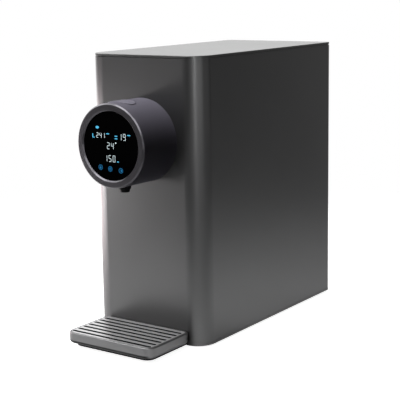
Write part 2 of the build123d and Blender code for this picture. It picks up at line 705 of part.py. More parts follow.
def bezel_ring():
    """Front ring with a chamfer outside, a bevel round the display and a spigot that enters the housing."""
    front = HEAD_REACH
    outer = head_radius(front)
    spigot = head_radius(HOUSING_L) - HEAD_WALL - WALL_GAP
    seat = GLASS_R + WALL_GAP
    end = HOUSING_L - BEZEL_SPIGOT_L
    ring = turned([
        (head_radius(HOUSING_L), HOUSING_L),
        (outer, front - BEZEL_CHAMFER),
        (outer - BEZEL_CHAMFER, front),
        (DISPLAY_R + BEZEL_BEVEL, front),
        (DISPLAY_R, front - BEZEL_BEVEL),
        (DISPLAY_R, GLASS_FRONT),
        (seat, GLASS_FRONT),
        (seat, RETAINER_FRONT - RETAINER_T),
        (spigot - BEZEL_SPIGOT_T, RETAINER_FRONT - RETAINER_T),
        (spigot - BEZEL_SPIGOT_T, min(end, RETAINER_FRONT - RETAINER_T - BEZEL_LIP)),
        (spigot, min(end, RETAINER_FRONT - RETAINER_T - BEZEL_LIP)),
        (spigot, HOUSING_L),
    ], BEZEL_EDGE_R, [1, 2])
    room = 2 * (BUTTON_FLANGE_LAP + RUN_GAP)
    return HEAD * (ring - obround(BUTTON_L + room, BUTTON_W + room, DISPLAY_R / 2, 2 * HEAD_R))


def display_glass():
    """Black glass disc behind the bezel's lip."""
    return HEAD * Pos(0, 0, GUIDE_FRONT) * extrude(Circle(GLASS_R), GLASS_T)


def lit_fields(grow):
    """Outlines of the digit windows and touch spots, grown by a margin."""
    fields = [Pos(x, z) * Rectangle(w + 2 * grow, h + 2 * grow) for x, z, w, h in DIGIT_WINDOWS]
    fields += [Pos(x, z) * Circle(TOUCH_R + grow) for x, z in TOUCH_SPOTS]
    return fields


def display_light_guide():
    """Frame behind the glass that keeps the light of each field apart."""
    frame = Pos(0, 0, BOARD_FRONT) * extrude(Circle(GLASS_R), GUIDE_T)
    for field in lit_fields(0):
        frame -= Pos(0, 0, BOARD_FRONT) * extrude(field, GUIDE_T)
    return HEAD * frame


def display_board():
    """Round circuit board with a light block in each window of the guide."""
    board = Pos(0, 0, RETAINER_FRONT) * extrude(Circle(GLASS_R), BOARD_T)
    for field in lit_fields(-RUN_GAP):
        board += Pos(0, 0, BOARD_FRONT) * extrude(field, DIGIT_BLOCK_T)
    return HEAD * board


def display_retainer():
    """Ring that presses the display stack against the bezel."""
    ring = Circle(GLASS_R) - Circle(GLASS_R - RETAINER_W)
    return HEAD * Pos(0, 0, RETAINER_FRONT - RETAINER_T) * extrude(ring, RETAINER_T)


def dispense_button():
    """Obround cap that follows the head's curve, with a flange under the wall and a stem."""
    low = switch_floor()
    high = 2 * HEAD_R
    inner = -HEAD_WALL - RUN_GAP
    cap = obround(BUTTON_L, BUTTON_W, low, high) & head_cone(BUTTON_PROUD, 0, HEAD_REACH)
    cap = fillet(cap.faces().filter_by(GeomType.CONE).edges(), BUTTON_EDGE_R)
    cap -= head_cone(inner - BUTTON_FLANGE_T, 0, HEAD_REACH)
    lap = 2 * BUTTON_FLANGE_LAP
    flange = obround(BUTTON_L + lap, BUTTON_W + lap, low, high) & head_cone(inner, 0, HEAD_REACH)
    flange -= head_cone(inner - BUTTON_FLANGE_T, 0, HEAD_REACH)
    top = head_radius(BUTTON_Y) - HEAD_WALL
    foot = top - RUN_GAP - BUTTON_FLANGE_T - BUTTON_STEM_L
    stem = rod(BUTTON_STEM_R, (0, top, BUTTON_Y), (0, foot, BUTTON_Y))
    return HEAD * (cap + flange + stem)


def button_switch():
    """Small circuit board on the head's shelf with a push switch under the button's stem."""
    y = switch_floor()
    floor = y + BOARD_T
    span = (BUTTON_Y - SWITCH_W / 2, BUTTON_Y + SWITCH_W / 2)
    board = block((-SWITCH_L / 2, SWITCH_L / 2), (y, floor), span)
    half = SWITCH_BODY / 2
    base = block((-half, half), (floor, floor + SWITCH_H / 2), (BUTTON_Y - half, BUTTON_Y + half))
    plunger = rod(half / 2, (0, floor, BUTTON_Y), (0, floor + SWITCH_H, BUTTON_Y))
    return HEAD * (board + base + plunger)


# Spout

def spout_tip_z():
    """Height of the spout's tip above the worktop."""
    return HEAD_Z - head_radius(NOZZLE_Y) - NOZZLE_DROP


def spout_neck_z():
    """Height of the top of the spout's neck, where its hose seats."""
    return HEAD_Z - head_radius(NOZZLE_Y) + HEAD_WALL + NOZZLE_NECK_L


def spout_nozzle():
    """Nozzle with a flange under the head, a neck through the wall and a hose stub on top."""
    tip = spout_tip_z()
    root = tip + NOZZLE_DROP
    flange = root - NOZZLE_FLANGE_H
    neck = spout_neck_z()
    crown = root + HEAD_WALL
    body = turned([
        (NOZZLE_BORE_R, tip),
        (NOZZLE_TIP_R, tip),
        (NOZZLE_ROOT_R, flange),
        (NOZZLE_TOP_R, flange),
        (NOZZLE_TOP_R, crown),
        (NOZZLE_NECK_R, crown),
        (NOZZLE_NECK_R, neck),
        (STUB_BORE_R, neck),
        (STUB_BORE_R, neck - HEAD_WALL),
        (NOZZLE_BORE_R, crown),
    ], NOZZLE_EDGE_R, [1, 3])
    body += stub((0, 0, neck), (0, 0, 1))
    rim = 2 * NOZZLE_TOP_R
    shoulder = turned([(NOZZLE_NECK_R, tip), (rim, tip), (rim, neck), (NOZZLE_NECK_R, neck)])
    place = Pos(0, FRONT_Y - NOZZLE_Y, 0)
    return place * body - (place * shoulder & HEAD * head_cone(WALL_GAP, 0, HEAD_REACH))


def spout_nut():
    """Nut on the spout's neck inside the head."""
    wall = head_radius(NOZZLE_Y) - HEAD_WALL - WALL_GAP
    low = HEAD_Z - (wall ** 2 - NUT_R ** 2) ** 0.5
    bore = NOZZLE_NECK_R + HOSE_GAP
    ring = Pos(0, 0, low) * extrude(RegularPolygon(NUT_R, 6) - Circle(bore), NUT_H)
    return Pos(0, FRONT_Y - NOZZLE_Y, 0) * ring


# Works

def pump_bracket():
    """Plate on rubber mounts with a saddle under the motor."""
    x = (PUMP_LEFT - BRACKET_MARGIN, MOTOR_LEFT + MOTOR_L + BRACKET_MARGIN)
    y = (PUMP_Y - PUMP_HEAD_S / 2, PUMP_Y + PUMP_HEAD_S / 2)
    top = BRACKET_Z + BRACKET_T
    base = block(x, y, (BRACKET_Z, top))
    middle = MOTOR_LEFT + MOTOR_L / 2
    length = (middle - SADDLE_L / 2, middle + SADDLE_L / 2)
    width = (PUMP_Y - SADDLE_W / 2, PUMP_Y + SADDLE_W / 2)
    saddle = block(length, width, (top, PUMP_Z - SADDLE_W / 2))
    ends = ((MOTOR_LEFT, PUMP_Y, PUMP_Z), (MOTOR_LEFT + MOTOR_L, PUMP_Y, PUMP_Z))
    return base + (saddle - rod(MOTOR_R + HOSE_GAP, *ends))


def pump_mounts():
    """Rubber mounts between the pan and the pump's bracket."""
    ends = (PUMP_LEFT + MOUNT_R, MOTOR_LEFT + MOTOR_L - MOUNT_R)
    rows = (PUMP_Y - PUMP_HEAD_S / 2 + MOUNT_R, PUMP_Y + PUMP_HEAD_S / 2 - MOUNT_R)
    return Compound([rod(MOUNT_R, (x, y, PAN_TOP), (x, y, BRACKET_Z)) for x in ends for y in rows])


def booster_pump():
    """Square diaphragm pump head with an inlet and an outlet at the rear."""
    half = PUMP_HEAD_S / 2
    turn = Plane(origin=(PUMP_LEFT, PUMP_Y, PUMP_Z), x_dir=(0, 1, 0), z_dir=(1, 0, 0))
    head = extrude(turn * RectangleRounded(PUMP_HEAD_S, PUMP_HEAD_S, PUMP_CORNER_R), PUMP_HEAD_L)
    for x in (PUMP_OUT_X, PUMP_IN_X):
        face = (x, PUMP_Y + half, PUMP_Z)
        head += stub(face, (0, 1, 0))
    return head


def pump_motor():
    """Round motor on the pump head's end, with a bearing cap."""
    middle = (PUMP_Y, PUMP_Z)
    end = MOTOR_LEFT + MOTOR_L
    can = rod(MOTOR_R, (MOTOR_LEFT, *middle), (end, *middle))
    return can + rod(MOTOR_CAP_R, (end, *middle), (end + MOTOR_CAP_L, *middle))


def pure_water_box():
    """Closed box that holds purified water, on the bulkhead."""
    x = (WORKS_SPREAD - WATER_BOX_W / 2, WORKS_SPREAD + WATER_BOX_W / 2)
    y = (BULKHEAD_Y - WATER_BOX_D, BULKHEAD_Y)
    box = plate(x, y, (WATER_BOX_Z, WATER_BOX_TOP), WATER_BOX_R)
    box += stub((x[0], DELIVERY_Y, DELIVERY_Z), (-1, 0, 0))
    return box + stub((WORKS_SPREAD, BULKHEAD_Y - WATER_BOX_D / 2, WATER_BOX_Z), (0, 0, -1))


def delivery_pump():
    """Small round pump on the bulkhead that lifts water through the heater."""
    x = -WORKS_SPREAD
    front = DELIVERY_Y + DELIVERY_HEAD_L / 2
    body = rod(DELIVERY_MOTOR_R, (x, BULKHEAD_Y, DELIVERY_Z), (x, front, DELIVERY_Z))
    body += rod(DELIVERY_HEAD_R, (x, front, DELIVERY_Z), (x, front - DELIVERY_HEAD_L, DELIVERY_Z))
    middle = (x, DELIVERY_Y, DELIVERY_Z)
    reach = DELIVERY_HEAD_R + HOSE_GAP
    for way in ((1, 0, 0), (0, 0, 1)):
        face = tuple(Vector(*middle) + Vector(*way) * reach)
        body += rod(HOSE_R, middle, face) + stub(face, way)
    return body


def heater():
    """Flat heating block with round-cornered end caps, on two legs from the bulkhead."""
    x = (-WORKS_SPREAD - HEATER_W / 2, -WORKS_SPREAD + HEATER_W / 2)
    y = (DELIVERY_Y - HEATER_D / 2, DELIVERY_Y + HEATER_D / 2)
    cap = HEATER_CAP_H
    inset = HEATER_INSET
    inner_x = (x[0] + inset, x[1] - inset)
    inner_y = (y[0] + inset, y[1] - inset)
    core = block(inner_x, inner_y, (HEATER_Z + cap, HEATER_TOP - cap))
    core += plate(x, y, (HEATER_Z, HEATER_Z + cap), inset)
    core += plate(x, y, (HEATER_TOP - cap, HEATER_TOP), inset)
    for z in (HEATER_Z + cap / 2, HEATER_TOP - cap / 2):
        core += rod(HEATER_LEG_R, (-WORKS_SPREAD, DELIVERY_Y, z), (-WORKS_SPREAD, BULKHEAD_Y, z))
    core += stub((-WORKS_SPREAD, DELIVERY_Y, HEATER_Z), (0, 0, -1))
    return core + stub((-WORKS_SPREAD, DELIVERY_Y, HEATER_TOP), (0, 0, 1))


def heater_thermostat():
    """Round safety thermostat on the heater's front."""
    face = DELIVERY_Y - HEATER_D / 2 + HEATER_INSET
    middle = HEATER_Z + HEATER_H / 2
    return rod(THERMOSTAT_R, (-WORKS_SPREAD, face, middle), (-WORKS_SPREAD, face - THERMOSTAT_T, middle))


def control_board():
    """Circuit board on posts in front of the bulkhead, with its larger components."""
    x = (WORKS_SPREAD - CONTROL_W / 2, WORKS_SPREAD + CONTROL_W / 2)
    z = (WATER_BOX_TOP + CONTROL_GAP, WATER_BOX_TOP + CONTROL_GAP + CONTROL_H)
    back = BULKHEAD_Y - POST_L
    front = back - BOARD_T
    board = block(x, (front, back), z)
    relay_x = (x[0] + RELAY_W, x[0] + 2 * RELAY_W)
    relay_z = (z[0] + RELAY_W, z[0] + RELAY_W + RELAY_H)
    board += block(relay_x, (front - PART_T, front), relay_z)
    chip_x = (x[1] - 2 * CHIP_S, x[1] - CHIP_S)
    chip_z = (z[1] - 2 * CHIP_S, z[1] - CHIP_S)
    board += block(chip_x, (front - CHIP_T, front), chip_z)
    for px in (x[0] + POST_INSET, x[1] - POST_INSET):
        for pz in (z[0] + POST_INSET, z[1] - POST_INSET):
            board += rod(POST_R, (px, back, pz), (px, BULKHEAD_Y, pz))
    return board


# Filters

def filter_manifold():
    """Block under the filters with bayonet collars, sockets, legs and hose stubs."""
    x = (-MANIFOLD_X, MANIFOLD_X)
    y = (FILTER_Y - MANIFOLD_D / 2, FILTER_Y + MANIFOLD_D / 2)
    body = plate(x, y, (MANIFOLD_Z, MANIFOLD_TOP), MANIFOLD_R)
    for side in (-1, 1):
        body += Pos(side * FILTER_X, FILTER_Y, MANIFOLD_TOP) * bayonet_collar()
        middle = (side * FILTER_X, FILTER_Y)
        body -= rod(NECK_R + RUN_GAP, (*middle, MANIFOLD_TOP), (*middle, MANIFOLD_TOP - SOCKET_DEPTH))
        for row in y:
            leg = MANIFOLD_LEG_R + MANIFOLD_R
            spot = (side * (MANIFOLD_X - leg), row + (leg if row < FILTER_Y else -leg))
            body += rod(MANIFOLD_LEG_R, (*spot, PAN_TOP), (*spot, MANIFOLD_Z))
    for port in (PUMP_OUT_X, WORKS_SPREAD):
        body += stub((port, MANIFOLD_FRONT, PUMP_Z), (0, -1, 0))
    return body


def bayonet_collar():
    """Ring with an inner lip that is open at two mouths, where the filter's lugs pass."""
    ring = Circle(COLLAR_R + COLLAR_T) - Circle(COLLAR_R)
    collar = extrude(ring, COLLAR_H)
    lip = extrude(Circle(COLLAR_R) - Circle(NECK_R + RUN_GAP), COLLAR_LIP_H)
    mouth = sector(2 * COLLAR_R, COLLAR_MOUTH_ARC, COLLAR_LIP_H)
    lip -= Rot(0, 0, 90) * mouth + Rot(0, 0, -90) * mouth
    return collar + Pos(0, 0, COLLAR_H - COLLAR_LIP_H) * lip


def sector(radius, arc, height):
    """Wedge about Z, centred on +X."""
    wedge = extrude(Circle(radius), height)
    for side in (-1, 1):
        half = block((-radius, radius), (0, 2 * radius), (0, height))
        wedge -= Rot(0, 0, side * arc / 2) * (half if side > 0 else mirror(half, Plane.XZ))
    return wedge


def filter_cartridge(side):
    """Cartridge with a sloped shoulder, a bar handle, and a neck with two lugs."""
    top = FILTER_TOP - HANDLE_H
    floor = FILTER_FLOOR
    body = turned([
        (0, floor),
        (FILTER_R - FILTER_SHOULDER, floor),
        (FILTER_R, floor + FILTER_SHOULDER),
        (FILTER_R, top - FILTER_SHOULDER),
        (FILTER_R - FILTER_SHOULDER, top),
        (0, top),
    ])
    length = (-HANDLE_L / 2, HANDLE_L / 2)
    body += plate(length, (-HANDLE_T / 2, HANDLE_T / 2), (top, FILTER_TOP), HANDLE_R)
    low = MANIFOLD_TOP - SOCKET_DEPTH + RUN_GAP
    body += rod(NECK_R, (0, 0, floor), (0, 0, MANIFOLD_TOP))
    body += rod(NECK_R - SEAL_SECTION, (0, 0, floor), (0, 0, low))
    lug_top = MANIFOLD_TOP + COLLAR_H - COLLAR_LIP_H - RUN_GAP
    lug = sector(NECK_R + LUG_REACH, LUG_ARC, LUG_H)
    body += Pos(0, 0, lug_top - LUG_H) * (lug + Rot(0, 0, 180) * lug)
    return Pos(side * FILTER_X, FILTER_Y, 0) * body


def filter_seals(side):
    """Two sealing rings on a cartridge's neck."""
    ring = extrude(Circle(NECK_R) - Circle(NECK_R - SEAL_SECTION), SEAL_T)
    low = MANIFOLD_TOP - SOCKET_DEPTH + SEAL_T
    rings = [Pos(0, 0, low), Pos(0, 0, low + SEAL_PITCH)]
    return Compound([Pos(side * FILTER_X, FILTER_Y, 0) * place * ring for place in rings])


def flush_valve():
    """Solenoid valve on the manifold's front, with its coil on top."""
    x = (PUMP_OUT_X - PROBE_SPAN / 2) / 2
    low = PUMP_Z - VALVE_H / 2
    depth = (MANIFOLD_FRONT - VALVE_D, MANIFOLD_FRONT)
    body = block((x - VALVE_W / 2, x + VALVE_W / 2), depth, (low, low + VALVE_H))
    middle = (x, MANIFOLD_FRONT - VALVE_D / 2)
    return body + rod(COIL_R, (*middle, low + VALVE_H), (*middle, low + VALVE_H + COIL_L))


def quality_probes():
    """Two probes in the manifold's front that measure the water's quality."""
    probes = []
    for side in (-1, 1):
        x = side * PROBE_SPAN / 2
        probes.append(rod(PROBE_R, (x, MANIFOLD_FRONT, PUMP_Z), (x, MANIFOLD_FRONT - PROBE_L, PUMP_Z)))
    return Compound(probes)


# Tank

def raw_water_tank():
    """Open-topped tank with a finger grip in its rear wall and an outlet hole low in front."""
    half = TANK_W / 2
    wall = TANK_WALL
    body = plate((-half, half), (TANK_FRONT, TANK_BACK), (TANK_Z, TANK_TOP), TANK_R)
    body = fillet(body.faces().sort_by(Axis.Z)[0].edges(), TANK_EDGE_R)
    room = (TANK_Z + wall, TANK_TOP)
    hollow = plate((wall - half, half - wall), (TANK_FRONT + wall, TANK_BACK - wall), room, TANK_R - wall)
    grip_top = TANK_TOP - GRIP_DROP
    grip = (GRIP_W / 2, TANK_BACK - GRIP_D, grip_top - GRIP_H, grip_top)
    hollow -= grip_space(grip, wall)
    body = body - hollow - grip_space(grip, 0)
    ends = ((0, TANK_FRONT, OUTLET_Z), (0, TANK_FRONT + wall, OUTLET_Z))
    return body - rod(OUTLET_BORE_R + 2 * WALL_GAP, *ends)


def grip_space(grip, grow):
    """Rounded pocket of the tank's finger grip, grown by a wall."""
    half, front, low, high = grip
    face = Plane(origin=(0, front - grow, (low + high) / 2), x_dir=(1, 0, 0), z_dir=(0, 1, 0))
    height = high - low + 2 * grow
    outline = RectangleRounded(2 * (half + grow), height, GRIP_R + grow)
    return extrude(face * outline, TANK_BACK - front + grow + TANK_WALL)


def tank_lid():
    """Flat lid with a plug that fits inside the tank's mouth."""
    half = TANK_W / 2
    lid = plate((-half, half), (TANK_FRONT, TANK_BACK), (TANK_TOP, TANK_TOP + LID_T), TANK_R)
    inset = TANK_WALL + WALL_GAP
    low = TANK_TOP - LID_PLUG_H
    for sign, edge in ((1, inset), (-1, inset + LID_PLUG_T)):
        y = (TANK_FRONT + edge, TANK_BACK - edge)
        plug = plate((edge - half, half - edge), y, (low, TANK_TOP), max(TANK_R - edge, CORNER_MIN))
        lid = lid + plug if sign > 0 else lid - plug
    return lid


def tank_outlet():
    """Outlet spigot in the tank's front wall that plugs into the dock."""
    tip = PARTITION_Y - OUTLET_L
    inside = TANK_FRONT + TANK_WALL
    body = rod(OUTLET_R, (0, tip, OUTLET_Z), (0, TANK_FRONT, OUTLET_Z))
    body += rod(OUTLET_BORE_R + WALL_GAP, (0, tip, OUTLET_Z), (0, inside, OUTLET_Z))
    body += rod(OUTLET_FLANGE_R, (0, inside, OUTLET_Z), (0, inside + OUTLET_FLANGE_T, OUTLET_Z))
    body -= rod(OUTLET_BORE_R - SEAL_T, (0, tip, OUTLET_Z), (0, inside + OUTLET_FLANGE_T, OUTLET_Z))
    groove = rod(OUTLET_R, (0, DOCK_Y, OUTLET_Z), (0, DOCK_Y + SEAL_T, OUTLET_Z))
    groove -= rod(OUTLET_R - SEAL_SECTION, (0, DOCK_Y, OUTLET_Z), (0, DOCK_Y + SEAL_T, OUTLET_Z))
    return body - groove


def outlet_seal():
    """Sealing ring in the spigot's groove."""
    ends = ((0, DOCK_Y, OUTLET_Z), (0, DOCK_Y + SEAL_T, OUTLET_Z))
    return rod(OUTLET_R + SEAL_PROUD, *ends) - rod(OUTLET_R - SEAL_SECTION, *ends)


def tank_dock():
    """Cup on the partition that takes the tank's spigot, with a hose stub below."""
    bore = OUTLET_R + RUN_GAP
    cup = rod(DOCK_R, (0, DOCK_FRONT, OUTLET_Z), (0, PARTITION_Y, OUTLET_Z))
    cup -= rod(bore, (0, DOCK_FRONT + DOCK_FLOOR_T, OUTLET_Z), (0, PARTITION_Y, OUTLET_Z))
    face = (0, DOCK_Y, OUTLET_Z - DOCK_R - HOSE_GAP)
    neck = rod(HOSE_R, (0, DOCK_Y, OUTLET_Z - bore - HOSE_GAP), face)
    return cup + neck + stub(face, (0, 0, -1))


# Power side

def power_inlet():
    """Socket for the mains lead, with its flange outside the rear panel."""
    x = (INLET_X - INLET_W / 2, INLET_X + INLET_W / 2)
    z = (INLET_Z - INLET_H / 2, INLET_Z + INLET_H / 2)
    face = PANEL_Y + PANEL_T
    deep = face - INLET_DEPTH
    lap = INLET_FLANGE
    body = block(x, (deep, face), z)
    body += block((x[0] - lap, x[1] + lap), (face, face + INLET_FLANGE_T), (z[0] - lap, z[1] + lap))
    wall = INLET_WALL
    hollow = (deep + wall, face + INLET_FLANGE_T)
    body -= block((x[0] + wall, x[1] - wall), hollow, (z[0] + wall, z[1] - wall))
    for pin_x, pin_z in pin_places():
        body -= pin(pin_x, pin_z, deep, deep + wall)
    return body


def pin_places():
    """Middles (x, z) of the inlet's three pins."""
    low = INLET_Z - PIN_RISE
    return [(INLET_X - PIN_SPAN, low), (INLET_X + PIN_SPAN, low), (INLET_X, INLET_Z + PIN_RISE)]


def pin(x, z, low, high):
    """One flat pin of the inlet."""
    return block((x - PIN_W / 2, x + PIN_W / 2), (low, high), (z - PIN_H / 2, z + PIN_H / 2))


def inlet_pins():
    """Flat pins that stand in the inlet's floor."""
    deep = PANEL_Y + PANEL_T - INLET_DEPTH
    return Compound([pin(x, z, deep, deep + INLET_WALL + PIN_L) for x, z in pin_places()])


def power_board():
    """Power supply board on posts on the pan, with a transformer and two capacitors."""
    y0 = PARTITION_Y + PARTITION_T + PART_T
    x = (-POWER_W / 2, POWER_W / 2)
    y = (y0, y0 + POWER_D)
    low = PAN_TOP + POST_L
    top = low + BOARD_T
    board = block(x, y, (low, top))
    row = y0 + CAPACITOR_PITCH
    coil_x = (-TRANSFORMER_W - CAPACITOR_R, -CAPACITOR_R)
    board += block(coil_x, (row, row + TRANSFORMER_D), (top, top + TRANSFORMER_H))
    for step in (1, 2):
        spot = (step * CAPACITOR_PITCH, row)
        board += rod(CAPACITOR_R, (*spot, top), (*spot, top + CAPACITOR_H))
    for px in (x[0] + POST_INSET, x[1] - POST_INSET):
        for py in (y[0] + POST_INSET, y[1] - POST_INSET):
            board += rod(POST_R, (px, py, PAN_TOP), (px, py, low))
    return board


# Hoses

def feed_hose():
    """Hose from the tank's dock, under the manifold, to the booster pump."""
    start = (0, DOCK_Y, OUTLET_Z - DOCK_R - HOSE_GAP)
    turn_y = PUMP_BACK + STUB_L + 2 * HOSE_BEND_R
    low = [(0, DOCK_Y, FEED_Z), (PUMP_IN_X, turn_y, FEED_Z), (PUMP_IN_X, turn_y, PUMP_Z)]
    return hose(start, *low, (PUMP_IN_X, PUMP_BACK, PUMP_Z))


def pressure_hose():
    """Straight hose from the booster pump to the manifold."""
    return hose((PUMP_OUT_X, PUMP_BACK, PUMP_Z), (PUMP_OUT_X, MANIFOLD_FRONT, PUMP_Z))


def pure_hose():
    """Hose from the manifold up to the pure-water box."""
    turn = (WORKS_SPREAD, BULKHEAD_Y - WATER_BOX_D / 2, PUMP_Z)
    return hose((WORKS_SPREAD, MANIFOLD_FRONT, PUMP_Z), turn, (*turn[:2], WATER_BOX_Z))


def delivery_hose():
    """Short hose from the pure-water box to the delivery pump."""
    start = WORKS_SPREAD - WATER_BOX_W / 2
    end = -WORKS_SPREAD + DELIVERY_HEAD_R + HOSE_GAP
    return hose((start, DELIVERY_Y, DELIVERY_Z), (end, DELIVERY_Y, DELIVERY_Z))


def heater_hose():
    """Upright hose from the delivery pump to the heater."""
    low = DELIVERY_Z + DELIVERY_HEAD_R + HOSE_GAP
    return hose((-WORKS_SPREAD, DELIVERY_Y, low), (-WORKS_SPREAD, DELIVERY_Y, HEATER_Z))


def spout_hose():
    """Hose from the heater through the casing's port to the spout."""
    y = FRONT_Y - NOZZLE_Y
    start = (0, y, spout_neck_z())
    inner = BAY_Y + 2 * HOSE_BEND_R
    way = [(0, y, HEAD_Z), (0, inner, HEAD_Z), (-WORKS_SPREAD, DELIVERY_Y, HEAD_Z)]
    return hose(start, *way, (-WORKS_SPREAD, DELIVERY_Y, HEATER_TOP))


# Screws

def head_screws():
    """Screws through the casing into the head's bosses."""
    seat = -SHEET_T
    pieces = []
    for angle in HEAD_SCREW_ANGLES:
        turn = Rot(0, 0, angle) * Pos(HEAD_BOSS_CIRCLE, 0, 0)
        pieces.append(HEAD * turn * screw((0, 0, seat), (0, 0, 1), SHEET_T + HEAD_BOSS_H))
    return Compound(pieces)


def deck_screws():
    """Screws through the deck into the bulkhead's flange and the cradle's bosses."""
    length = DECK_T + PANEL_BOSS_L / 2
    return Compound([screw((x, y, DECK_TOP), (0, 0, -1), length) for x, y in deck_screw_places()])


def panel_screws():
    """Screws through the rear panel into the cradle's bosses."""
    face = PANEL_Y + PANEL_T
    length = PANEL_T + PANEL_BOSS_L / 2
    return Compound([screw((x, face, z), (0, -1, 0), length) for x, z in panel_screw_places()])


NODES = {
    "casing_wrap": casing_wrap,
    "top_cover": top_cover,
    "base_pan": base_pan,
    "feet": feet,
    "upper_deck": upper_deck,
    "bulkhead": bulkhead,
    "tank_cradle": tank_cradle,
    "rear_panel": rear_panel,
    "drip_tray": drip_tray,
    "drip_grille": drip_grille,
    "head_housing": head_housing,
    "bezel_ring": bezel_ring,
    "display_glass": display_glass,
    "display_light_guide": display_light_guide,
    "display_board": display_board,
    "display_retainer": display_retainer,
    "dispense_button": dispense_button,
    "button_switch": button_switch,
    "spout_nozzle": spout_nozzle,
    "spout_nut": spout_nut,
    "pump_bracket": pump_bracket,
    "pump_mounts": pump_mounts,
    "booster_pump": booster_pump,
    "pump_motor": pump_motor,
    "pure_water_box": pure_water_box,
    "delivery_pump": delivery_pump,
    "heater": heater,
    "heater_thermostat": heater_thermostat,
    "control_board": control_board,
    "filter_manifold": filter_manifold,
    "flush_valve": flush_valve,
    "quality_probes": quality_probes,
    "raw_water_tank": raw_water_tank,
    "tank_lid": tank_lid,
    "tank_outlet": tank_outlet,
    "outlet_seal": outlet_seal,
    "tank_dock": tank_dock,
    "power_inlet": power_inlet,
    "inlet_pins": inlet_pins,
    "power_board": power_board,
    "feed_hose": feed_hose,
    "pressure_hose": pressure_hose,
    "pure_hose": pure_hose,
    "delivery_hose": delivery_hose,
    "heater_hose": heater_hose,
    "spout_hose": spout_hose,
    "head_screws": head_screws,
    "deck_screws": deck_screws,
    "panel_screws": panel_screws,
}

SIDES = {"left": -1, "right": 1}

os.makedirs("parts", exist_ok=True)
for name, make in NODES.items():
    export_step(make(), f"parts/{name}.step")
for name, side in SIDES.items():
    export_step(filter_cartridge(side), f"parts/{name}_filter_cartridge.step")
    export_step(filter_seals(side), f"parts/{name}_filter_seals.step")
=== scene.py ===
"""Looks of a countertop water dispenser: finishes, display marks, screws and a small studio."""

import math

import bmesh
import bpy
from bpy.props import FloatProperty, FloatVectorProperty, PointerProperty
from mathutils import Matrix, Vector


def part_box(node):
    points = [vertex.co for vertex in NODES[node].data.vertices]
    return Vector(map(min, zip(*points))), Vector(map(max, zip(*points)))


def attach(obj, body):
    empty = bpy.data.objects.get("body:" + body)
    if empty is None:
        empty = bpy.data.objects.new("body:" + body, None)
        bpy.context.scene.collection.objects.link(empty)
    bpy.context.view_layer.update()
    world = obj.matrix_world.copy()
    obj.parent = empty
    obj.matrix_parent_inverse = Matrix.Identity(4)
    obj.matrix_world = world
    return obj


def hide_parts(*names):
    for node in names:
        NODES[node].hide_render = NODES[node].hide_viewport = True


bl_info = {
    "name": "Water dispenser looks",
    "version": (1, 0, 0),
    "blender": (4, 5, 0),
    "location": "View3D > Sidebar > Dispenser",
    "description": "Dresses the packed water dispenser and sets its studio",
    "category": "Object",
}

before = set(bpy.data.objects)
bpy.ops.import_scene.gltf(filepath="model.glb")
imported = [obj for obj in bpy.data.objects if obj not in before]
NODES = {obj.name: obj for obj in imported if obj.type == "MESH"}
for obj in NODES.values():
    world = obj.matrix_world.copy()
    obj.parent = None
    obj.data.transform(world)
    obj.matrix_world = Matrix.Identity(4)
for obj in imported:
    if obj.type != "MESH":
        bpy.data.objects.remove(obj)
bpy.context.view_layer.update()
MM = 0.001
EVEN = (1.0, 1.0, 1.0)
WHITE = (1.0, 1.0, 1.0)
BLACK = (0.0, 0.0, 0.0)
UP = (0.0, 0.0, 1.0)
REARWARD = (0.0, 1.0, 0.0)
SEED = 7
SKIN_GRAIN = 0.35 * MM  # size of the grain in a moulded skin
CLOUD = 90.0 * MM  # size of the faint clouds in paint and mouldings
BARE_DEPTH = 0.15 * MM  # how far the brushed top of a grille bar goes down its walls
TRACK_SCALE = 260.0  # cells of a circuit board's tracks to a metre


def colour(name, description, default):
    """A colour that a user can change."""
    return FloatVectorProperty(
        name=name, description=description, default=default, size=3, min=0.0, max=1.0, subtype="COLOR"
    )


def length(name, description, default):
    """A length in metres that a user can change."""
    return FloatProperty(name=name, description=description, default=default, min=0.0, unit="LENGTH")


def share(name, description, default):
    """A value from 0 to 1 that a user can change."""
    return FloatProperty(
        name=name, description=description, default=default, min=0.0, max=1.0, subtype="FACTOR"
    )


def angle(name, description, degrees):
    """An angle that a user can change."""
    return FloatProperty(name=name, description=description, default=math.radians(degrees), subtype="ANGLE")


def amount(name, description, default, unit="NONE"):
    """A positive value that a user can change."""
    return FloatProperty(name=name, description=description, default=default, min=0.0, unit=unit)


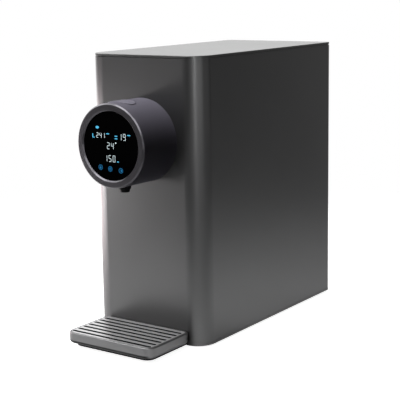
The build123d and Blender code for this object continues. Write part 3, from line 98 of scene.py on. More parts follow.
class CabinetLook(bpy.types.PropertyGroup):
    """Finishes of the cabinet and its hidden works."""

    paint: colour("Paint", "Satin metal paint of the casing", (0.1, 0.1, 0.101))
    paint_roughness: share("Paint roughness", "Roughness of the casing's paint", 0.34)
    cover: colour("Cover", "Moulded top cover", (0.1, 0.101, 0.1))
    moulding: colour("Black moulding", "Base, spout and rear panel", (0.012, 0.012, 0.013))
    rubber: colour("Rubber", "Feet, mounts and seals", (0.014, 0.014, 0.014))
    inner: colour("Inner moulding", "Deck, cradle, filters and water box", (0.72, 0.73, 0.71))
    works: colour("Works moulding", "Pumps and valves", (0.05, 0.052, 0.06))
    board: colour("Circuit board", "Lacquer of the circuit boards", (0.012, 0.1, 0.035))
    hose: colour("Hose", "Milky hoses", (0.78, 0.79, 0.77))
    plated: colour("Plated steel", "Zinc-plated sheet and screws", (0.52, 0.52, 0.53))
    brass: colour("Brass", "Inlet pins", (0.62, 0.47, 0.2))
    tank: colour("Tank", "Smoky tank", (0.1, 0.11, 0.12))
    grain: length("Grain", "Size of the paint's grain", 0.5 * MM)
    screw_radius: length("Screw radius", "Radius of a screw's head", 2.9 * MM)
    screw_rise: length("Screw rise", "Height of a screw's head", 1.0 * MM)
    level_pitch: length("Level pitch", "Height from one level mark to the next", 10.0 * MM)
    level_width: length("Level width", "Width of a short level mark", 6.0 * MM)
    level: colour("Level marks", "Pale print on the level marks", (0.55, 0.57, 0.58))


class HeadLook(bpy.types.PropertyGroup):
    """Finishes and marks of the display head."""

    shell: colour("Shell", "Satin shell of the head", (0.125, 0.118, 0.145))
    shell_roughness: share("Shell roughness", "Roughness of the head's shell", 0.45)
    ring: colour("Ring", "Satin metal of the front ring", (0.06, 0.058, 0.064))
    ring_roughness: share("Ring roughness", "Roughness of the front ring", 0.3)
    glass: colour("Glass", "Black display glass", (0.0003, 0.0003, 0.00035))
    digit: colour("Digits", "Light of the digits", (0.82, 0.97, 1.0))
    label: colour("Labels", "Light of the small marks", (0.1, 0.55, 0.85))
    touch: colour("Touch marks", "Light of the touch marks", (0.015, 0.18, 0.4))
    large_digit: length("Large digit", "Height of the large digits", 8.8 * MM)
    small_digit: length("Small digit", "Height of the small digits", 7.0 * MM)
    stroke: length("Stroke", "Width of a digit's stroke", 0.48 * MM)
    mark_rise: length("Mark rise", "Thickness of the marks on the glass", 0.06 * MM)
    touch_size: length("Touch mark size", "Diameter of a touch mark", 7.2 * MM)


class TrayLook(bpy.types.PropertyGroup):
    """Finishes of the drip tray."""

    tray: colour("Tray", "Satin paint of the tray", (0.15, 0.15, 0.152))
    grille: colour("Grille", "Brushed bars of the grille", (0.5, 0.5, 0.505))
    # The slot colour is painted shade on the walls of the grille's slots, below the bars' brushed tops.
    slot: colour("Slots", "Dark walls of the grille's slots", (0.012, 0.012, 0.0125))
    # The foot colour, with its start and full depths below, is painted shade along the bottom of the tray's
    # front and back.
    foot: colour("Foot", "Dark band along the foot of the tray's front", (0.01, 0.01, 0.0105))
    foot_shade_start: length("Foot start", "From the grille's top down to the dark band", 10.3 * MM)
    foot_shade_full: length("Foot full", "From the grille's top down to where the band is darkest", 11.8 * MM)
    grille_roughness: share("Grille roughness", "Roughness of the brushed grille", 0.3)


class StageLook(bpy.types.PropertyGroup):
    """Floor, lights and camera."""

    floor: colour("Floor", "Pale floor", (0.86, 0.86, 0.86))
    floor_radius: length("Floor radius", "Where the floor has faded out", 1.1)
    floor_glow: share("Floor glow", "Light from within the floor in reflections", 0.255)
    floor_white: share("Floor white", "Light from within the floor in the picture", 0.95)
    camera_azimuth: angle("Camera azimuth", "Camera's turn to the right of the front", 35.577)
    camera_elevation: angle("Camera elevation", "Camera's height angle", 11.141)
    camera_roll: angle("Camera roll", "Camera's turn about its own axis", -0.993)
    camera_place: FloatVectorProperty(
        name="Camera place",
        description="Where the camera stands",
        default=(0.94783, -1.32576, 0.49988),
        size=3,
        subtype="TRANSLATION",
    )
    lens: amount("Lens", "Focal length on a 36 mm sensor", 100.285, "CAMERA")
    key_power: amount("Key light", "Power of the top front softbox", 36.0, "POWER")
    back_level: amount("Backdrop", "Brightness behind the object", 1.55)
    room_level: amount("Room", "Brightness of the rest of the room", 0.08)


class Value:
    """A socket that takes part in arithmetic: each operation adds a Math node."""

    def __init__(self, nodes, socket):
        self.nodes = nodes
        self.socket = socket

    def maths(self, operation, first, second):
        return self.nodes.add("ShaderNodeMath", {"operation": operation}, {0: first, 1: second})

    def __add__(self, other):
        return self.maths("ADD", self, other)

    __radd__ = __add__

    def __sub__(self, other):
        return self.maths("SUBTRACT", self, other)

    def __rsub__(self, other):
        return self.maths("SUBTRACT", other, self)

    def __mul__(self, other):
        return self.maths("MULTIPLY", self, other)

    __rmul__ = __mul__


class Nodes:
    """A node tree and the ways to fill it."""

    def __init__(self, tree):
        self.tree = tree

    def add(self, kind, settings=None, inputs=None, output=0):
        """Adds a node with its settings and inputs, and gives one of its outputs."""
        node = self.tree.nodes.new(kind)
        for key, value in (settings or {}).items():
            if key == "stops":
                self.set_stops(node.color_ramp, value)
            else:
                setattr(node, key, value)
        for key, value in (inputs or {}).items():
            self.feed(node.inputs[key], value)
        return Value(self, node.outputs[output]) if len(node.outputs) else None

    def set_stops(self, ramp, stops):
        """Gives a colour ramp its stops, as (place, brightness)."""
        while len(ramp.elements) < len(stops):
            ramp.elements.new(1.0)
        for element, (place, level) in zip(ramp.elements, stops):
            element.position = place
            element.color = (level, level, level, 1.0)

    def feed(self, socket, value):
        """Links a value to a socket, or sets the socket."""
        if isinstance(value, Value):
            self.tree.links.new(value.socket, socket)
        else:
            socket.default_value = value


class Finish(Nodes):
    """A material or world and the nodes that make it."""

    def __init__(self, holder):
        self.holder = holder
        holder.use_nodes = True
        super().__init__(holder.node_tree)

    def shade(self, **inputs):
        """Sets the main shader's sockets; a name's underscores stand for spaces."""
        shader = self.tree.nodes["Principled BSDF"]
        for key, value in inputs.items():
            self.feed(shader.inputs[key.replace("_", " ")], value)
        return self.holder

    def paint(self):
        """The colour that the main shader has so far."""
        return Value(self, self.tree.nodes["Principled BSDF"].inputs["Base Color"].links[0].from_socket)

    def spot(self, kind="Object"):
        """Object coordinates, or another kind of place or way."""
        return self.add("ShaderNodeTexCoord", output=kind)

    def place(self, stretch=EVEN):
        """Object coordinates, stretched along the axes."""
        return self.add("ShaderNodeMapping", None, {"Vector": self.spot(), "Scale": stretch})

    def noise(self, size, detail=2.0, stretch=EVEN):
        """Noise from 0 to 1 with spots of a size in metres."""
        sockets = {"Vector": self.place(stretch), "Scale": 1.0 / size, "Detail": detail}
        return self.add("ShaderNodeTexNoise", None, sockets)

    def between(self, factor, low, high):
        """Mix of two colours; the first may come from another node."""
        sockets = {0: factor, 6: low if isinstance(low, Value) else (*low, 1.0), 7: (*high, 1.0)}
        return self.add("ShaderNodeMix", {"data_type": "RGBA"}, sockets, output=2)

    def ramp(self, value, start, end, low=0.0, high=1.0):
        """A soft step from low to high as a value goes from start to end."""
        sockets = {0: value, 1: start, 2: end, 3: low, 4: high}
        return self.add("ShaderNodeMapRange", {"interpolation_type": "SMOOTHSTEP"}, sockets)

    def part(self, vector, axis):
        """One axis of a vector."""
        return self.add("ShaderNodeSeparateXYZ", None, {0: vector}, output=axis)

    def along(self, vector, way):
        """How far a vector goes along a fixed way."""
        sockets = {0: vector, 1: way}
        return self.add("ShaderNodeVectorMath", {"operation": "DOT_PRODUCT"}, sockets, output="Value")

    def bump(self, height, distance, strength=1.0):
        """Normal of a surface with small heights on it."""
        sockets = {"Height": height, "Distance": distance, "Strength": strength}
        return self.add("ShaderNodeBump", None, sockets)


def finish_for(name):
    """A new, empty finish under a name."""
    return Finish(bpy.data.materials.new(name))


def tinted(tone, factor):
    """A colour made lighter or darker."""
    return tuple(min(1.0, channel * factor) for channel in tone)


def satin(name, tone, roughness, grain, spread=0.12, metal=0.0, bend=1.5, relief=0.02 * MM):
    """Satin paint or moulded skin: fine grain in colour, gloss and relief, with faint clouds."""
    finish = finish_for(name)
    fine = finish.noise(grain)
    cloud = finish.noise(CLOUD, detail=3.0)
    mixed = fine * 0.6 + cloud * 0.4
    return finish.shade(
        Base_Color=finish.between(mixed, tinted(tone, 1.0 - spread), tinted(tone, 1.0 + spread)),
        Roughness=roughness - 0.05 + 0.1 * mixed,
        Metallic=metal,
        IOR=bend,
        Normal=finish.bump(fine, relief, 0.5),
    )


def brushed(name, tone, roughness, stretch, line=0.4 * MM):
    """Bare metal with fine lines along one axis."""
    finish = finish_for(name)
    lines = finish.noise(line, detail=3.0, stretch=stretch)
    cloud = finish.noise(30.0 * MM)
    return finish.shade(
        Base_Color=finish.between(lines, tinted(tone, 0.85), tinted(tone, 1.1)),
        Roughness=roughness - 0.08 + 0.12 * lines + 0.06 * cloud,
        Metallic=1.0,
        Normal=finish.bump(lines, 0.01 * MM, 0.4),
    )


def brushed_top_over_slot_shade(name, tone, dark, roughness, top):
    """Metal brushed bright on its top face, with a dark colour painted as shade down the walls of the slots
    below it.
    """
    finish = finish_for(name)
    lines = finish.noise(0.4 * MM, detail=3.0, stretch=(0.03, 1.0, 1.0))
    bare = finish.ramp(finish.part(finish.spot(), "Z"), top - BARE_DEPTH, top)
    return finish.shade(
        # Below the bare top, the slot walls take the dark colour as painted shade.
        Base_Color=finish.between(bare * (0.8 + 0.2 * lines), dark, tone),
        Roughness=roughness - 0.06 + 0.12 * lines,
        Metallic=0.6,
        Normal=finish.bump(lines, 0.01 * MM, 0.4),
    )


def painted_foot_shade(material, tone, low, high):
    """Paints shade on a material: a dark band along the foot of its front and back."""
    finish = Finish(material)
    height = finish.part(finish.spot(), "Z")
    side = finish.part(finish.spot("Normal"), "X")
    # The band is painted shade: full below low, gone above high, and only on faces that look forward or back.
    band = finish.ramp(height, low, high, 1.0, 0.0) * finish.ramp(side * side, 0.1, 0.6, 1.0, 0.0)
    return finish.shade(Base_Color=finish.between(band, finish.paint(), tone))


def plain_side(material, tone, metal):
    """Leaves a ring's front as metal and gives its sides a plain skin."""
    finish = Finish(material)
    side = finish.ramp(finish.part(finish.spot("Normal"), "Y"), -0.45, -0.2)
    skin = finish.between(side, finish.paint(), tone)
    return finish.shade(Base_Color=skin, Metallic=metal - metal * side)


def glossy_black(name, tone):
    """Black display glass with the faintest smears."""
    finish = finish_for(name)
    smear = finish.noise(22.0 * MM, detail=4.0, stretch=(1.0, 1.0, 2.5))
    return finish.shade(
        Base_Color=finish.between(smear, tone, tinted(tone, 1.5)),
        Roughness=0.05 + 0.07 * smear,
        IOR=1.08,
    )


def lit(name, tone, level):
    """Light behind the glass, a little uneven as such fields are."""
    finish = finish_for(name)
    patch = finish.noise(2.5 * MM)
    return finish.shade(
        Base_Color=(*tinted(tone, 0.02), 1.0),
        Roughness=0.35 + 0.1 * patch,
        IOR=1.08,
        Emission_Color=finish.between(patch, tinted(tone, 0.8), tone),
        Emission_Strength=level,
    )


def smoky(name, tone):
    """Dark see-through plastic with slight flow marks."""
    finish = finish_for(name)
    flow = finish.noise(40.0 * MM, detail=3.0, stretch=(1.0, 1.0, 0.3))
    return finish.shade(
        Base_Color=finish.between(flow, tinted(tone, 0.9), tinted(tone, 1.15)),
        Roughness=0.12 + 0.12 * flow,
        Transmission_Weight=0.55,
        IOR=1.45,
        Normal=finish.bump(flow, 0.3 * MM, 0.2),
    )


def lacquered_board(name, tone):
    """Circuit board with faint copper tracks under its lacquer."""
    finish = finish_for(name)
    sockets = {"Vector": finish.place(), "Scale": TRACK_SCALE}
    cells = finish.add("ShaderNodeTexVoronoi", {"feature": "DISTANCE_TO_EDGE"}, sockets)
    track = 1.0 - finish.add("ShaderNodeValToRGB", {"stops": ((0.03, 0.0), (0.08, 1.0))}, {0: cells})
    return finish.shade(
        Base_Color=finish.between(track, tone, tinted(tone, 2.2)),
        Roughness=0.3 + 0.12 * track,
        Normal=finish.bump(track, 0.03 * MM, 0.5),
    )


def make_finishes(scene):
    """All finishes, by the name of the material slot that they dress."""
    cabinet = scene.dispenser_cabinet
    head = scene.dispenser_head
    tray = scene.dispenser_tray
    grain = cabinet.grain
    skin = SKIN_GRAIN
    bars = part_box("drip_grille")[1]
    ring = satin("ring_metal", head.ring, head.ring_roughness, skin, bend=1.12, relief=0.005 * MM)
    dish = satin("grey_moulding", tray.tray, 0.38, grain, metal=0.85)
    return {
        "casing_sheet": satin("casing_sheet", cabinet.paint, cabinet.paint_roughness, grain, metal=0.9),
        "cover_moulding": satin("cover_moulding", cabinet.cover, 0.34, grain, metal=0.9, relief=0.01 * MM),
        "head_shell": satin("head_shell", head.shell, head.shell_roughness, skin, bend=1.12),
        # The button's colour is the shell's made lighter: painted sheen for the gloss on its top, over the
        # shell's own skin.
        "button_skin_and_sheen": satin("button_skin_and_sheen", tinted(head.shell, 1.4), 0.3, skin, bend=1.3),
        "ring_metal": plain_side(ring, head.shell, 0.9),
        "black_moulding": satin("black_moulding", cabinet.moulding, 0.5, skin, bend=1.15, relief=0.05 * MM),
        # The tray's grey moulding gets painted shade along the foot of its front and back.
        "grey_moulding": painted_foot_shade(dish, tray.foot, bars.z - tray.foot_shade_full, bars.z - tray.foot_shade_start),
        # The grille's slot walls carry painted shade.
        "grille_steel": brushed_top_over_slot_shade("grille_steel", tray.grille, tray.slot, tray.grille_roughness, bars.z),
        "foot_rubber": satin("foot_rubber", cabinet.rubber, 0.75, skin, relief=0.06 * MM),
        "display_glass": glossy_black("display_glass", head.glass),
        "white_moulding": satin("white_moulding", cabinet.inner, 0.5, skin, spread=0.03),
        "tank_moulding": smoky("tank_moulding", cabinet.tank),
        "lid_moulding": satin("lid_moulding", cabinet.cover, 0.45, skin, relief=0.04 * MM),
        "circuit_board": lacquered_board("circuit_board", cabinet.board),
        "works_sheet": brushed("works_sheet", cabinet.plated, 0.42, (1.0, 1.0, 0.1), 2.0 * MM),
        "works_plastic": satin("works_plastic", cabinet.works, 0.5, skin, relief=0.05 * MM),
        "motor_steel": brushed("motor_steel", cabinet.plated, 0.35, (0.05, 1.0, 1.0)),
        "hose": satin("hose", cabinet.hose, 0.38, skin, spread=0.04),
        "screw_steel": brushed("screw_steel", cabinet.plated, 0.28, EVEN, 0.2 * MM),
        "pin_brass": brushed("pin_brass", cabinet.brass, 0.3, (1.0, 0.1, 1.0)),
        "level_print": satin("level_print", cabinet.level, 0.5, skin, spread=0.06),
        "digit_light": lit("digit_light", head.digit, 1.4),
        "label_light": lit("label_light", head.label, 1.1),
        "touch_light": lit("touch_light", head.touch, 1.0),
        "field_light": lit("field_light", tinted(head.touch, 0.16), 1.0),
    }


FINISHES = {}


def dress(*slots):
    """Puts the finishes of some slots on the CAD nodes that have those slots."""
    for node in NODES.values():
        for holder in node.material_slots:
            slot = holder.material.name.split(".")[0]
            if slot in slots:
                holder.material = FINISHES[slot]


def dress_node(name, finish):
    """Puts one finish on one CAD node."""
    NODES[name].material_slots[0].material = FINISHES[finish]


def link(thing):
    """Puts an object in the scene."""
    bpy.context.scene.collection.objects.link(thing)
    return thing


def mesh_of(shape, name):
    """Ends a shape that is under construction as a mesh."""
    made = bpy.data.meshes.new(name)
    shape.to_mesh(made)
    shape.free()
    return made


def new_piece(name, mesh, body, finish):
    """A finished piece that rides on a body."""
    piece = link(bpy.data.objects.new(name, mesh))
    mesh.materials.clear()
    mesh.materials.append(FINISHES[finish])
    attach(piece, body)
    return piece


class Sheet:
    """Flat marks on the display, drawn in millimetres right of and above its middle."""

    def __init__(self, rise, base=0.0):
        low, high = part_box("display_glass")
        self.middle = (low + high) / 2
        self.back = low.y - base
        self.front = self.back - rise
        self.shapes = bmesh.new()

    def loop(self, points, depth):
        """Corners of an outline at a depth."""
        middle = self.middle
        return [self.shapes.verts.new((middle.x + x * MM, depth, middle.z + z * MM)) for x, z in points]

    def strip(self, first, second):
        """Faces between two outlines with as many corners."""
        for i, corner in enumerate(first):
            j = (i + 1) % len(first)
            self.shapes.faces.new((corner, first[j], second[j], second[i]))

    def polygon(self, points):
        """A raised patch with an outline that runs anticlockwise."""
        back = self.loop(points, self.back)
        front = self.loop(points, self.front)
        self.strip(back, front)
        self.shapes.faces.new(front)
        self.shapes.faces.new(list(reversed(back)))

    def bar(self, start, end, width):
        """A stroke with pointed ends between two points."""
        a = Vector(start)
        b = Vector(end)
        along = (b - a).normalized()
        side = Vector((-along.y, along.x)) * width / 2
        tip = along * width / 2
        self.polygon([a - tip, a - side, b - side, b + tip, b + side, a + side])

    def oval(self, centre, width, height, steps):
        """Points of an oval, anticlockwise."""
        x, z = centre
        turns = [math.tau * i / steps for i in range(steps)]
        return [(x + width / 2 * math.cos(t), z + height / 2 * math.sin(t)) for t in turns]

    def ring(self, centre, radius, width, steps=36):
        """A round stroke."""
        inner = self.oval(centre, 2 * radius - width, 2 * radius - width, steps)
        outer = self.oval(centre, 2 * radius + width, 2 * radius + width, steps)
        loops = [
            self.loop(inner, self.back),
            self.loop(outer, self.back),
            self.loop(outer, self.front),
            self.loop(inner, self.front),
        ]
        for first, second in zip(loops, loops[1:] + loops[:1]):
            self.strip(first, second)

    def disc(self, centre, width, height, steps=24):
        """A filled oval."""
        self.polygon(self.oval(centre, width, height, steps))

    def finish(self, name, light):
        """Ends the marks as one lit piece on the cabinet."""
        new_piece(name, mesh_of(self.shapes, name), "cabinet", light)


# Strokes of a digit, each from one corner to another of a cell that is 1 wide and 2 high.
STROKES = {
    "a": ((0, 2), (1, 2)),
    "f": ((0, 1), (0, 2)),
    "b": ((1, 1), (1, 2)),
    "g": ((0, 1), (1, 1)),
    "e": ((0, 0), (0, 1)),
    "c": ((1, 0), (1, 1)),
    "d": ((0, 0), (1, 0)),
}
DIGITS = {"0": "abcdef", "1": "bc", "2": "abged", "4": "fgbc", "5": "afgcd", "9": "abcdfg"}
DIGIT_WIDTH = 0.86  # of half its height
DIGIT_SPACE = 0.39  # to the next digit, of its height
STROKE_GAP = 0.72  # at a stroke's end, of its width

# Marks on the display, in millimetres right of and above its middle.
NUMBERS = (  # text, middle and whether it is large
    ("241", (-17.3, 13.4), False),
    ("19", (20.0, 13.2), True),
    ("24", (-1.0, 0.2), True),
    ("150", (-2.2, -16.8), True),
)
DEGREE_SIGN = ((8.4, 4.6), 0.8, 0.5)  # middle, radius and width
LABEL_DOT = ((-22.6, 24.0), 5.8, 3.6)  # middle, width and height
LABEL_BARS = (  # start, end and width
    ((-31.0, 14.7), (-31.0, 10.2), 1.5),
    ((-29.4, 10.2), (-28.4, 10.2), 1.5),
    ((-7.1, 16.2), (-2.7, 16.2), 1.3),
    ((28.8, 16.2), (33.2, 16.2), 1.3),
    ((7.4, 13.8), (11.2, 13.8), 1.3),
    ((7.4, 10.5), (11.2, 10.5), 1.3),
    ((10.4, -20.4), (12.2, -20.4), 1.4),
)
TOUCH_PLACES = ((-19.0, -29.8), (-2.2, -30.8), (16.0, -31.8))
TOUCH_RIM = 0.5
TOUCH_INSET = 0.3  # of the rim's middle from the mark's edge
TOUCH_DISCS = (((-19.0, -30.4), 2.4, 2.8), ((17.0, -31.8), 2.2, 3.2))  # middle, width and height
TOUCH_BARS = (((-19.0, -28.6), (-19.0, -28.0), 0.7), ((-2.2, -30.8), (-2.2, -30.0), 0.5))
TOUCH_RING = ((-2.2, -30.8), 1.5, 0.6)  # middle, radius and width


def draw_number(sheet, text, centre, height, stroke):
    """A number in seven-stroke digits about a middle point."""
    cell = (height - stroke) / 2
    wide = DIGIT_WIDTH * cell
    pitch = wide + DIGIT_SPACE * height
    left = centre[0] - pitch * (len(text) - 1) / 2 - wide / 2
    gap = STROKE_GAP * stroke
    for place, digit in enumerate(text):
        for name in DIGITS[digit]:
            ends = [
                Vector((left + place * pitch + x * wide, centre[1] + (y - 1) * cell)) for x, y in STROKES[name]
            ]
            along = (ends[1] - ends[0]).normalized() * gap
            sheet.bar(ends[0] + along, ends[1] - along, stroke)


def repeater():
    """Node group that sets a pattern on every point, faced along its way, stretched, and turned by chance."""
    group = bpy.data.node_groups.new("repeater", "GeometryNodeTree")
    group.interface.new_socket("Copies", in_out="OUTPUT", socket_type="NodeSocketGeometry")
    inputs = {
        "Points": "NodeSocketGeometry",
        "Pattern": "NodeSocketObject",
        "Turn": "NodeSocketFloat",
        "Seed": "NodeSocketInt",
        "Finish": "NodeSocketMaterial",
    }
    for name, kind in inputs.items():
        group.interface.new_socket(name, in_out="INPUT", socket_type=kind)
    nodes = Nodes(group)
    given = {name: nodes.add("NodeGroupInput", output=name) for name in inputs}
    vector = {"data_type": "FLOAT_VECTOR"}
    way = nodes.add("GeometryNodeInputNamedAttribute", vector, {"Name": "way"})
    stretch = nodes.add("GeometryNodeInputNamedAttribute", vector, {"Name": "stretch"})
    faced = nodes.add("FunctionNodeAlignRotationToVector", {"axis": "Z"}, {"Vector": way})
    sockets = {2: 0.0, 3: given["Turn"], "Seed": given["Seed"]}
    chance = nodes.add("FunctionNodeRandomValue", None, sockets, output=1)
    twist = nodes.add("FunctionNodeAxisAngleToRotation", None, {"Axis": UP, "Angle": chance})
    sockets = {"Rotation": faced, "Rotate By": twist}
    turned = nodes.add("FunctionNodeRotateRotation", {"rotation_space": "LOCAL"}, sockets)
    pattern = nodes.add("GeometryNodeObjectInfo", None, {"Object": given["Pattern"]}, output="Geometry")
    sockets = {"Points": given["Points"], "Instance": pattern, "Rotation": turned, "Scale": stretch}
    copies = nodes.add("GeometryNodeInstanceOnPoints", None, sockets)
    real = nodes.add("GeometryNodeRealizeInstances", None, {"Geometry": copies})
    dressed = nodes.add("GeometryNodeSetMaterial", None, {"Geometry": real, "Material": given["Finish"]})
    nodes.add("NodeGroupOutput", None, {0: dressed})
    return group


def repeat(name, pattern, spots, turn, finish):
    """One mesh of a pattern's copies at spots, each given as a place, a way and a stretch."""
    holder = link(bpy.data.objects.new(name + "_pattern", pattern))
    points = bpy.data.meshes.new(name + "_points")
    points.from_pydata([place for place, way, stretch in spots], [], [])
    for key, column in (("way", 1), ("stretch", 2)):
        layer = points.attributes.new(key, "FLOAT_VECTOR", "POINT")
        for item, spot in zip(layer.data, spots):
            item.vector = spot[column]
    carrier = link(bpy.data.objects.new(name + "_points", points))
    modifier = carrier.modifiers.new("repeat", "NODES")
    modifier.node_group = repeater()
    values = {"Pattern": holder, "Turn": turn, "Seed": SEED, "Finish": FINISHES[finish]}
    for item in modifier.node_group.interface.items_tree:
        if item.name in values:
            modifier[item.identifier] = values[item.name]
    graph = bpy.context.evaluated_depsgraph_get()
    made = bpy.data.meshes.new_from_object(carrier.evaluated_get(graph))
    made.name = name
    for helper in (holder, carrier):
        bpy.data.objects.remove(helper)
    return made


def screw_pattern(radius, rise, shank, depth, sides=40):
    """A screw with a domed head that stands on z = 0, a cross recess and a shank below."""
    shape = bmesh.new()
    outline = (
        (0.5 * radius, -shank),
        (0.5 * radius, 0.0),
        (radius, 0.0),
        (radius, 0.35 * rise),
        (0.95 * radius, 0.65 * rise),
        (0.86 * radius, 0.88 * rise),
        (0.74 * radius, rise),
    )
    turns = [math.tau * i / sides for i in range(sides)]
    rings = []
    for reach, height in outline:
        rings.append([shape.verts.new((reach * math.cos(t), reach * math.sin(t), height)) for t in turns])
    for low, high in zip(rings, rings[1:]):
        for i in range(sides):
            j = (i + 1) % sides
            shape.faces.new((low[i], low[j], high[j], high[i]))
    shape.faces.new(list(reversed(rings[0])))
    arm = 0.55 * radius
    half = 0.11 * radius
    taper = 0.7
    quarter = ((arm, -half), (arm, half), (half, half))
    cross = []
    for step in range(4):
        spin = Matrix.Rotation(step * math.pi / 2, 2)
        cross += [spin @ Vector(corner) for corner in quarter]
    mouth = [shape.verts.new((x, y, rise)) for x, y in cross]
    floor = [shape.verts.new((taper * x, taper * y, rise - depth)) for x, y in cross]
    for i, corner in enumerate(mouth):
        j = (i + 1) % len(mouth)
        shape.faces.new((corner, mouth[j], floor[j], floor[i]))
    shape.faces.new(floor)
    rims = [edge for edge in shape.edges if len(edge.link_faces) == 1]
    bmesh.ops.triangle_fill(shape, use_beauty=True, edges=rims, normal=UP)
    bmesh.ops.recalc_face_normals(shape, faces=shape.faces)
    return mesh_of(shape, "screw")


def tick_pattern(wide, high, thick):
    """A bar with softened edges, half of it above the plane z = 0."""
    shape = bmesh.new()
    bmesh.ops.create_cube(shape, size=1.0)
    for corner in shape.verts:
        corner.co = Vector((corner.co.x * wide, corner.co.y * high, corner.co.z * thick))
    bmesh.ops.bevel(shape, geom=shape.edges, offset=0.3 * thick, segments=2, affect="EDGES", profile=0.5)
    return mesh_of(shape, "tick")


SCREW_SHANK = 8.0 * MM
SCREW_RECESS = 0.7  # depth of the cross, of the head's height
LEVEL_SIDE = 18.0 * MM  # from the tank's side to the level marks
LEVEL_FOOT = 30.0 * MM  # from the tank's foot to the lowest mark
LEVEL_FREE = 90.0 * MM  # height of the tank that bears no marks
LEVEL_LONG = 1.9  # width of every fifth mark, of a short one's
LEVEL_HEIGHT = 1.1 * MM
LEVEL_THICK = 0.8 * MM  # half of it stands above the tank's face


class DISPENSER_OT_cabinet(bpy.types.Operator):
    """Finishes of the casing, cover, base, feet and rear panel"""

    bl_idname = "dispenser.cabinet"
    bl_label = "Dress cabinet"

    def execute(self, context):
        FINISHES.update(make_finishes(context.scene))
        dress("casing_sheet", "cover_moulding", "black_moulding", "foot_rubber", "pin_brass")
        return {"FINISHED"}


class DISPENSER_OT_head(bpy.types.Operator):
    """Finishes of the head's shell, ring, button and glass"""

    bl_idname = "dispenser.head"
    bl_label = "Dress head"

    def execute(self, context):
        dress("head_shell", "display_glass")
        dress_node("bezel_ring", "ring_metal")
        dress_node("dispense_button", "button_skin_and_sheen")
        return {"FINISHED"}


class DISPENSER_OT_digits(bpy.types.Operator):
    """White numbers on the display"""

    bl_idname = "dispenser.digits"
    bl_label = "Light digits"

    def execute(self, context):
        look = context.scene.dispenser_head
        sheet = Sheet(look.mark_rise)
        stroke = look.stroke / MM
        small = look.small_digit / MM
        large = look.large_digit / MM
        for text, middle, is_large in NUMBERS:
            draw_number(sheet, text, middle, large if is_large else small, stroke)
        sheet.ring(*DEGREE_SIGN)
        sheet.finish("display_digits", "digit_light")
        return {"FINISHED"}


class DISPENSER_OT_labels(bpy.types.Operator):
    """Small blue marks beside the numbers"""

    bl_idname = "dispenser.labels"
    bl_label = "Light labels"

    def execute(self, context):
        look = context.scene.dispenser_head
        sheet = Sheet(look.mark_rise)
        sheet.disc(*LABEL_DOT)
        for bar in LABEL_BARS:
            sheet.bar(*bar)
        sheet.finish("display_labels", "label_light")
        return {"FINISHED"}


class DISPENSER_OT_touch(bpy.types.Operator):
    """Round blue touch marks at the display's foot"""

    bl_idname = "dispenser.touch"
    bl_label = "Light touch marks"

    def execute(self, context):
        look = context.scene.dispenser_head
        size = look.touch_size / MM
        fields = Sheet(look.mark_rise)
        signs = Sheet(look.mark_rise, base=look.mark_rise)
        for place in TOUCH_PLACES:
            fields.disc(place, size, size, steps=36)
            signs.ring(place, size / 2 - TOUCH_INSET, TOUCH_RIM)
        for disc in TOUCH_DISCS:
            signs.disc(*disc)
        for bar in TOUCH_BARS:
            signs.bar(*bar)
        signs.ring(*TOUCH_RING)
        fields.finish("touch_fields", "field_light")
        signs.finish("touch_signs", "touch_light")
        return {"FINISHED"}


class DISPENSER_OT_tray(bpy.types.Operator):
    """Finishes of the drip tray and its grille"""

    bl_idname = "dispenser.tray"
    bl_label = "Dress tray"

    def execute(self, context):
        dress("grey_moulding", "grille_steel")
        return {"FINISHED"}


class DISPENSER_OT_tank(bpy.types.Operator):
    """Finishes of the tank and its lid"""

    bl_idname = "dispenser.tank"
    bl_label = "Dress tank"

    def execute(self, context):
        dress("tank_moulding", "lid_moulding")
        return {"FINISHED"}


class DISPENSER_OT_screws(bpy.types.Operator):
    """Cross-recess screws of the rear panel and the deck"""

    bl_idname = "dispenser.screws"
    bl_label = "Set screws"

    def execute(self, context):
        look = context.scene.dispenser_cabinet
        radius = look.screw_radius
        rise = look.screw_rise
        spots = []
        low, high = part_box("panel_screws")
        for x in (low.x + radius, high.x - radius):
            for z in (low.z + radius, high.z - radius):
                spots.append(((x, high.y - rise, z), REARWARD, EVEN))
        low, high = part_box("deck_screws")
        for x in (low.x + radius, high.x - radius):
            for y in (low.y + radius, high.y - radius):
                spots.append(((x, y, high.z - rise), UP, EVEN))
        pattern = screw_pattern(radius, rise, SCREW_SHANK, SCREW_RECESS * rise)
        mesh = repeat("cross_screws", pattern, spots, math.pi, "screw_steel")
        piece = new_piece("cross_screws", mesh, "cabinet", "screw_steel")
        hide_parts("panel_screws", "deck_screws")
        return {"FINISHED"}


class DISPENSER_OT_levels(bpy.types.Operator):
    """Raised level marks on the tank's rear face"""

    bl_idname = "dispenser.levels"
    bl_label = "Mark levels"

    def execute(self, context):
        look = context.scene.dispenser_cabinet
        low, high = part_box("raw_water_tank")
        count = int((high.z - low.z - LEVEL_FREE) / look.level_pitch) + 1
        spots = []
        for step in range(count):
            wide = LEVEL_LONG if step % 5 == 0 else 1.0
            x = high.x - LEVEL_SIDE - wide * look.level_width / 2
            place = (x, high.y, low.z + LEVEL_FOOT + step * look.level_pitch)
            spots.append((place, REARWARD, (wide, 1.0, 1.0)))
        pattern = tick_pattern(look.level_width, LEVEL_HEIGHT, LEVEL_THICK)
        mesh = repeat("level_marks", pattern, spots, 0.0, "level_print")
        new_piece("level_marks", mesh, "tank", "level_print")
        return {"FINISHED"}


class DISPENSER_OT_works(bpy.types.Operator):
    """Finishes of what stands inside the cabinet"""

    bl_idname = "dispenser.works"
    bl_label = "Dress works"

    def execute(self, context):
        dress("white_moulding", "works_sheet", "works_plastic", "circuit_board")
        dress("motor_steel", "hose", "screw_steel")
        return {"FINISHED"}


HEAD_POINT = (0.0, -0.2, 0.3)
BEND_POINT = (0.08, -0.12, 0.3)  # on the casing's right front bend
